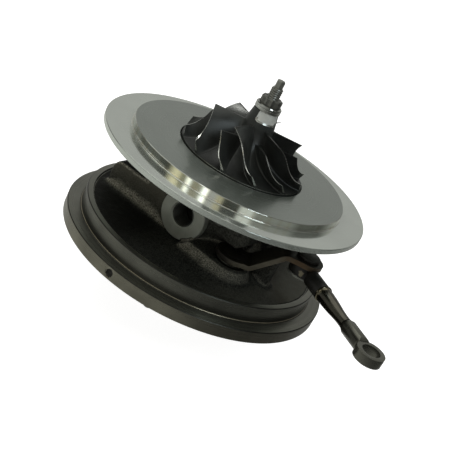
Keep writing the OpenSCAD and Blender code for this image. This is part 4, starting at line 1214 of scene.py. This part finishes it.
class CARTRIDGE_OT_turbine_wheel(bpy.types.Operator):
    """Builds the turbine wheel under the flange"""

    bl_idname = "cartridge.turbine_wheel"
    bl_label = "Turbine wheel"

    def execute(self, context):
        low = TURBINE_FRONT_Z - TURBINE_LEN - TURBINE_NOSE_H
        rows = [(low, 3.6), (low + 0.5, 4.6), (low + TURBINE_NOSE_H, TURBINE_HUB_R)]
        rows += [turbine_root(pi / 2 * (1 - k / 24))[::-1] for k in range(1, 25)]
        rows += [(WELD_Z - 0.2, TURBINE_R), (WELD_Z, TURBINE_R - 0.2)]
        hub = spun("turbine_hub", rows, [finish("nickel")], segments=144)
        keep(hub, "rotor", "turbine_alloy", "turbine_wheel")
        spans = [-0.08, 0, 0.04, 0.09, 0.17, 0.35, 0.55, 0.75, 0.92, 1]
        one = blade_mesh(turbine_point, 0, radians(88), 22, spans, 0, 1)
        obj = blade_host("turbine_blades", [one])
        ring_of(obj, 10, finish("nickel"), finish("shield"))
        keep(obj, "rotor", "turbine_alloy")
        return {"FINISHED"}


# ------------------------------------------------------------------ shaft and nut


class CARTRIDGE_OT_shaft(bpy.types.Operator):
    """Cuts the shaft's threaded end and drive tip, and the nut"""

    bl_idname = "cartridge.shaft"
    bl_label = "Shaft end and nut"

    def execute(self, context):
        pitch = context.scene.cartridge_sizes.thread_pitch / MM

        def thread(z):
            return lambda a: STUB_R - 0.2 - 0.3 * abs(2 * ((z / pitch + a / TURN) % 1.0) - 1)

        def twelve_points(radius):
            one, two = hexagon(radius), hexagon(radius, pi / 6)
            return lambda a: max(one(a), two(a))

        land_r, journal_r, land_z, journal_z = 8.0, 3.75, 3.65, 28.05
        rows = [
            (WELD_Z, land_r - 0.1), (WELD_Z + 0.1, land_r), (3.0, land_r), (land_z, land_r),
            (land_z, journal_r), (journal_z, journal_r), (journal_z, STUB_R), (66, STUB_R),
        ]
        start, end = 68.5, SHAFT_TOP_Z - 0.4
        count = int((end - start) / pitch * 8)
        rows += [(z, thread(z)) for z in (lerp(start, end, k / count) for k in range(count + 1))]
        tip_r, tip_end_r = 1.7, 1.4
        rows += [
            (SHAFT_TOP_Z, tip_r + 0.25), (SHAFT_TOP_Z + 0.01, hexagon(tip_r)),
            (TIP_Z - 0.35, hexagon(tip_r)), (TIP_Z, hexagon(tip_end_r)),
        ]
        shaft = spun("rotor_shaft", rows, [finish("shaft")], segments=72)
        keep(shaft, "rotor", "shaft_steel", "turbine_shaft")
        collar, low, high = 5.0, HUB_NOSE_Z, NUT_COLLAR_TOP_Z
        drive, drive_end = twelve_points(4.1), twelve_points(3.7)
        rows = [
            (low, collar - 0.25), (low + 0.25, collar), (low + 1.1, collar),
            (low + 1.2, collar - 0.12), (low + 1.35, collar - 0.12), (low + 1.45, collar),
            (high - 0.45, collar), (high - 0.1, collar - 0.2), (high, collar - 0.6),
            (high + 0.01, drive), (NUT_TOP_Z - 0.4, drive), (NUT_TOP_Z, drive_end),
            (NUT_TOP_Z + 0.001, STUB_R + 0.35), (NUT_TOP_Z - 0.3, STUB_R + 0.05),
        ]
        nut = spun(
            "collar_nut", rows, [finish("nut"), finish("chrome")], segments=144, sharp=25,
            finish=lambda low, high, a: int(high <= NUT_COLLAR_TOP_Z + 1e-6),
        )
        keep(nut, "rotor", "nut_steel", "shaft_nut")
        return {"FINISHED"}


# ------------------------------------------------------------------ lever and link


def lever_bends(bend_r, angle, steps):
    """Lower and upper points of the strip through its two bends, as (distance, z)."""
    out_r = bend_r + LEVER_T
    both_r = bend_r + out_r
    run = both_r * sin(angle) + (LEVER_HIGH_Z - LEVER_Z - both_r * (1 - cos(angle))) / tan(angle)
    low = (JOGGLE_START, LEVER_Z + out_r)
    high = (JOGGLE_START + run, LEVER_HIGH_Z - bend_r)
    pairs = []
    for k in range(steps + 1):
        a = angle * k / steps
        pairs.append([(low[0] + r * sin(a), low[1] - r * cos(a)) for r in (out_r, bend_r)])
    for k in range(steps + 1):
        a = angle * (1 - k / steps)
        pairs.append([(high[0] - r * sin(a), high[1] + r * cos(a)) for r in (bend_r, out_r)])
    return pairs


class CARTRIDGE_OT_lever(bpy.types.Operator):
    """Bends the control lever and sets its shaft, bush and pin"""

    bl_idname = "cartridge.lever"
    bl_label = "Control lever"

    def execute(self, context):
        ease = context.scene.cartridge_sizes.edge_break / MM
        hub_r, eye_r = LEVER_W / 2 + 1.2, LEVER_W / 2 + 0.5

        def strip(u, z):
            return (u, z), (u, z + LEVER_T)

        stations = [strip(-hub_r * cos(pi / 2 * k / 14), LEVER_Z) for k in range(1, 15)]
        stations += [strip(JOGGLE_START * k / 4, LEVER_Z) for k in range(1, 4)]
        stations += lever_bends(2.0, radians(45), 10)
        last = stations[-1][0][0]
        stations += [strip(lerp(last, LEVER_ARM, k / 4), LEVER_HIGH_Z) for k in range(1, 5)]
        stations += [strip(LEVER_ARM + eye_r * sin(pi / 2 * k / 14), LEVER_HIGH_Z) for k in range(1, 14)]

        def half_width(u):
            w = LEVER_W / 2 if 0 <= u <= LEVER_ARM else 0
            for centre, r in ((0, hub_r), (LEVER_ARM, eye_r)):
                if abs(u - centre) < r:
                    w = max(w, sqrt(r ** 2 - (u - centre) ** 2))
            return w

        place = Matrix.Translation((*PIVOT, 0)) @ Matrix.Rotation(LEVER_AZ, 4, "Z")
        shares = (-1, -0.6, -0.2, 0.2, 0.6, 1)
        n = len(shares)
        points, faces = [], []
        for low, high in stations:
            for u, z in (low, high):
                points += [place @ Vector((u, s * half_width(u), z)) for s in shares]
        for i in range(len(stations) - 1):
            a, b = i * 2 * n, (i + 1) * 2 * n
            for k in range(n - 1):
                faces.append((a + k, a + k + 1, b + k + 1, b + k))
                faces.append((a + n + k, b + n + k, b + n + k + 1, a + n + k + 1))
            faces.append((a, b, b + n, a + n))
            faces.append((a + n - 1, a + 2 * n - 1, b + 2 * n - 1, b + n - 1))
        for a in (0, (len(stations) - 1) * 2 * n):
            for k in range(n - 1):
                faces.append((a + k, a + n + k, a + n + k + 1, a + k + 1))
        obj = body_mesh("lever_strip", points, faces, [finish("lever")])
        break_edges(obj, 0.3, 3, 55)
        keep(obj, "lever", "lever_steel", "control_lever")
        for node, name, look, slot in (
            ("lever_shaft", "lever_pivot", "rivet", "pivot_steel"),
            ("inner_crank", "vane_crank", "shield", "crank_steel"),
            ("crank_slider", "vane_slider", "shield", "crank_steel"),
            ("link_pin", "link_rivet", "rivet", "pivot_steel"),
        ):
            keep(eased_copy(node, name, finish(look), ease), "lever", slot, node)
        bush = eased_copy("lever_bush", "pivot_bush", finish("bush"), ease)
        keep(bush, "housing", "lever_bush", "lever_bush")
        return {"FINISHED"}


class CARTRIDGE_OT_link(bpy.types.Operator):
    """Turns the link's rod and eases the edges of its two ends"""

    bl_idname = "cartridge.link"
    bl_label = "Control link"

    @staticmethod
    def cutters():
        """Shapes that cone the socket's mouth and slope its two flats down to the eye."""
        mouth, deep, wide = 32.1, 34.0, 4
        cone = [(2.3, mouth, 0), (wide, mouth, 0), (wide, deep, 0), (3.0, deep, 0)]
        out = [lathe("mouth", cone, [], place=along_link())]
        top, bottom, eye_half, flat_half, half_w = 40.9, 42.6, 1.72, 2.7, 3.2
        wedge = [(bottom, eye_half), (top, flat_half), (top, wide), (44, wide), (44, eye_half)]
        n = len(wedge)
        faces = [tuple(range(n)), tuple(range(n, 2 * n))]
        faces += [(k, (k + 1) % n, (k + 1) % n + n, k + n) for k in range(n)]
        for side in (1, -1):
            points = [along_link() @ Vector((-side * z, y, x)) for y in (-half_w, half_w) for x, z in wedge]
            out.append(body_mesh("wedge", points, faces, []))
        return out

    def execute(self, context):
        ease = context.scene.cartridge_sizes.edge_break / MM
        inner = eased_copy("link_inner_end", "link_sleeve", finish("sleeve"), ease * 1.4)
        keep(inner, "link", "link_black", "link_inner_end")
        outer = eased_copy("link_outer_end", "link_eye", finish("gunmetal"), ease * 1.8, 3, self.cutters())
        keep(outer, "link", "link_steel", "link_outer_end")
        start, collar_r, rod_r, end_r, end = 15.0, 3.3, 2.9, 2.2, 32.2
        rows = [
            (start - 6, 1.2), (start, 1.2), (start + 0.01, collar_r - 0.2), (start + 0.2, collar_r),
            (start + 0.8, collar_r), (start + 1.0, collar_r - 0.25),
        ]
        for s in (k / 10 for k in range(1, 11)):
            rows.append((start + 1.0 + 1.2 * s, lerp(collar_r - 0.25, rod_r, 1 - (1 - s) ** 2)))
        for s in (k / 16 for k in range(1, 17)):
            waist = 0.28 * sin(pi * s ** 2) - 0.12 * sin(pi * s)
            rows.append((lerp(start + 2.2, end - 0.5, s), lerp(rod_r, end_r, s) - waist))
        rows += [(end - 0.45, end_r - 0.35), (end, end_r - 0.35), (end + 6, 1.18)]
        rod = spun(
            "link_rod", rows, [finish("rod"), finish("sleeve"), finish("collar")], segments=72,
            place=along_link(), sharp=45,
            finish=lambda low, high, a: 1 if low > end - 0.6 else 2 if high < start + 1.8 else 0,
        )
        keep(rod, "link", "link_bright", "link_stud")
        return {"FINISHED"}


class CARTRIDGE_OT_finishes(bpy.types.Operator):
    """Gives the frame's own pieces their finishes"""

    bl_idname = "cartridge.finishes"
    bl_label = "Inner pieces"

    def execute(self, context):
        looks = {
            "backplate_o_ring": "rubber",
            "thrust_bearing": "bronze",
            "journal_bearing": "bronze",
            "bearing_pin": "grey",
            "compressor_seal_ring": "grey",
            "turbine_seal_ring": "grey",
            "heat_shield": "shield",
            "locating_dowel": "dowel",
            "thrust_collar": "grey",
            "oil_flinger": "grey",
            "crank_pin": "pin",
            "link_clip": "pin",
        }
        for node, look in looks.items():
            wear(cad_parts[node].data, finish(look))
        return {"FINISHED"}


# ------------------------------------------------------------------ stage


def area_light(name, place, target, size, power, colour):
    """A square light that looks at a target."""
    data = bpy.data.lights.new(name, "AREA")
    data.shape = "RECTANGLE"
    data.size = data.size_y = size
    data.energy = power
    data.color = colour
    obj = placed(name, data)
    obj.location = place
    obj.rotation_mode = "QUATERNION"
    obj.rotation_quaternion = (Vector(target) - Vector(place)).to_track_quat("-Z", "Y")
    return obj


# Panels of the studio, as the polished metal mirrors them: from and to in degrees round Z, and tone
PANELS = (
    (-180, -142, (0.15, 0.15, 0.14)),
    (-137, -128, (0.05, 0.05, 0.045)),
    (-119, -115, (2.0, 1.8, 1.25)),
    (-110, -106, (0.6, 0.55, 0.36)),
    (-103, -102, (4.5, 4.5, 4.4)),
    (-98, -88, (0.75, 0.7, 0.55)),
    (-83, -82, (6.0, 6.0, 6.0)),
    (-79, -73, (1.0, 0.97, 0.97)),
    (-69, -66, (1.2, 1.07, 0.75)),
    (-62, -48, (0.04, 0.04, 0.035)),
    (-44, -34, (1.7, 1.7, 1.65)),
    (-28, 10, (0.5, 0.5, 0.48)),
    (22, 55, (0.15, 0.15, 0.14)),
    (80, 150, (0.79, 0.79, 0.76)),
    (165, 180, (0.35, 0.35, 0.33)),
)
# A ramp holds tones up to 1, so the panels go in at an eighth and come out brighter
PANEL_SHARE, PANEL_GAIN = 1 / 8, 4.6
# Tone of the room behind the panels, from straight down (0) to straight up (1); ends first
ROOM = ((0.0, 1.3), (1.0, 0.5), (0.22, 0.55), (0.36, 0.55), (0.47, 0.3), (0.56, 0.4), (0.7, 0.6))


def surroundings(scene):
    """A pale studio with bright and dark panels round it, behind a plain white backdrop."""
    scene.world = bpy.data.worlds.new("studio")
    scene.world.use_nodes = True
    n = Nodes(scene.world.node_tree)
    x, y, z = n.split(n.new("ShaderNodeTexCoord").outputs["Generated"])

    def ramp(value, stops):
        node = n.new("ShaderNodeValToRGB", {0: value})
        marks = node.color_ramp.elements
        for index, (position, tone) in enumerate(stops):
            mark = marks[index] if index < 2 else marks.new(position)
            mark.position = position
            mark.color = (*tone, 1)
        return node.outputs[0]

    def scaled(colour, factor):
        return n.new("ShaderNodeVectorMath", {0: colour, "Scale": factor}, operation="SCALE").outputs[0]

    heights = [(place, (tone, tone * 1.005, tone * 0.95)) for place, tone in ROOM]
    room = scaled(ramp(n.span(z, -1, 1), heights), n.span(x, -1, 1, 1.15, 0.1))
    stops = []
    for start, end, tone in PANELS:
        stops += [((a + 180) / 360, shaded(tone, PANEL_SHARE)) for a in (start, end)]
    stops = [stops[0], stops[-1]] + stops[1:-1]
    panels = scaled(ramp(n.span(n.math("ARCTAN2", y, x), -pi, pi), stops), PANEL_GAIN)
    band = n.times(n.span(z, 0.16, 0.24), n.span(z, 0.5, 0.6, 1, 0))
    mirrored = n.mix(band, room, panels)
    seen = n.mix(n.new("ShaderNodeLightPath").outputs["Is Camera Ray"], mirrored, (1, 1, 1))
    n.feed(n.tree.nodes["Background"].inputs[0], seen)


class CARTRIDGE_OT_stage(bpy.types.Operator):
    """Sets the floor, the lights, the surroundings and the camera"""

    bl_idname = "cartridge.stage"
    bl_label = "Stage"

    def execute(self, context):
        scene = context.scene
        scene.view_settings.view_transform = "Standard"
        scene.view_settings.look = "None"
        low, wide = CAD_BOX[0].z - 0.0005, 30.0
        mesh = bpy.data.meshes.new("floor")
        corners = [(x * wide, y * wide, low) for x, y in ((-1, -1), (1, -1), (1, 1), (-1, 1))]
        mesh.from_pydata(corners, [], [(0, 1, 2, 3)])
        pale = Finish("pale_floor", roughness=0.9, specular_ior_level=0.0, emission_strength=0.92)
        wear(mesh, pale.done(base_color=(0.5, 0.5, 0.5, 1), emission_color=(1, 1, 1, 1)))
        floor = placed("floor", mesh)
        floor.visible_glossy = False

        surroundings(scene)
        aim, warm, cool = (0.0, 0.0, 0.03), (1, 1, 0.95), (0.82, 0.92, 1)
        area_light("soft_top", (-0.2, 0.1, 0.85), aim, 0.9, 2.4, warm)
        soft = area_light("soft_back", (-0.6, 0.13, 0.55), aim, 0.35, 2.0, warm)
        soft.visible_glossy = False
        sheen = area_light("blade_light", (-0.573, 0.208, 0.579), aim, 0.16, 1.7, warm)
        lit = bpy.data.collections.new("lit_by_blade_light")
        lit.objects.link(bpy.data.objects["wheel_blades"])
        sheen.light_linking.receiver_collection = lit
        area_light("cool_right", (0.45, -0.21, 0.5), aim, 0.2, 0.7, cool)

        camera = bpy.data.cameras.new("camera")
        camera.lens, camera.sensor_width = 70.4, 36.0
        camera.clip_start, camera.clip_end = 0.01, 100
        eye = placed("camera", camera)
        right = Vector((0.7460, 0.5097, 0.4288))
        up = Vector((-0.5659, 0.1454, 0.8116))
        back = Vector((0.3513, -0.8480, 0.3968))
        turn = Matrix((right, up, back)).transposed()
        eye.matrix_world = Matrix.Translation((0.1259, -0.2868, 0.1523)) @ turn.to_4x4()
        scene.camera = eye
        return {"FINISHED"}


class CARTRIDGE_PT_panel(bpy.types.Panel):
    """Lists the cartridge's pieces"""

    bl_idname = "CARTRIDGE_PT_panel"
    bl_label = "Turbo cartridge"
    bl_space_type = "VIEW_3D"
    bl_region_type = "UI"
    bl_category = "Cartridge"

    def draw(self, context):
        for operator in OPERATORS:
            self.layout.operator(operator.bl_idname)
        for group in (context.scene.cartridge_sizes, context.scene.cartridge_colours):
            box = self.layout.box()
            for key in group.bl_rna.properties.keys():
                if key not in ("rna_type", "name"):
                    box.prop(group, key)


# In the order in which main() runs them
OPERATORS = (
    CARTRIDGE_OT_casting,
    CARTRIDGE_OT_flange,
    CARTRIDGE_OT_inlet,
    CARTRIDGE_OT_plate,
    CARTRIDGE_OT_bolts,
    CARTRIDGE_OT_compressor_wheel,
    CARTRIDGE_OT_turbine_wheel,
    CARTRIDGE_OT_shaft,
    CARTRIDGE_OT_lever,
    CARTRIDGE_OT_link,
    CARTRIDGE_OT_finishes,
    CARTRIDGE_OT_stage,
)
CLASSES = (CartridgeColours, CartridgeSizes, *OPERATORS, CARTRIDGE_PT_panel)


def register():
    for cls in CLASSES:
        bpy.utils.register_class(cls)
    bpy.types.Scene.cartridge_colours = PointerProperty(type=CartridgeColours)
    bpy.types.Scene.cartridge_sizes = PointerProperty(type=CartridgeSizes)


def unregister():
    del bpy.types.Scene.cartridge_sizes
    del bpy.types.Scene.cartridge_colours
    for cls in reversed(CLASSES):
        bpy.utils.unregister_class(cls)


def main():
    register()
    for operator in OPERATORS:
        getattr(bpy.ops.cartridge, operator.bl_idname.split(".")[1])()


if __name__ == "__main__":
    main()
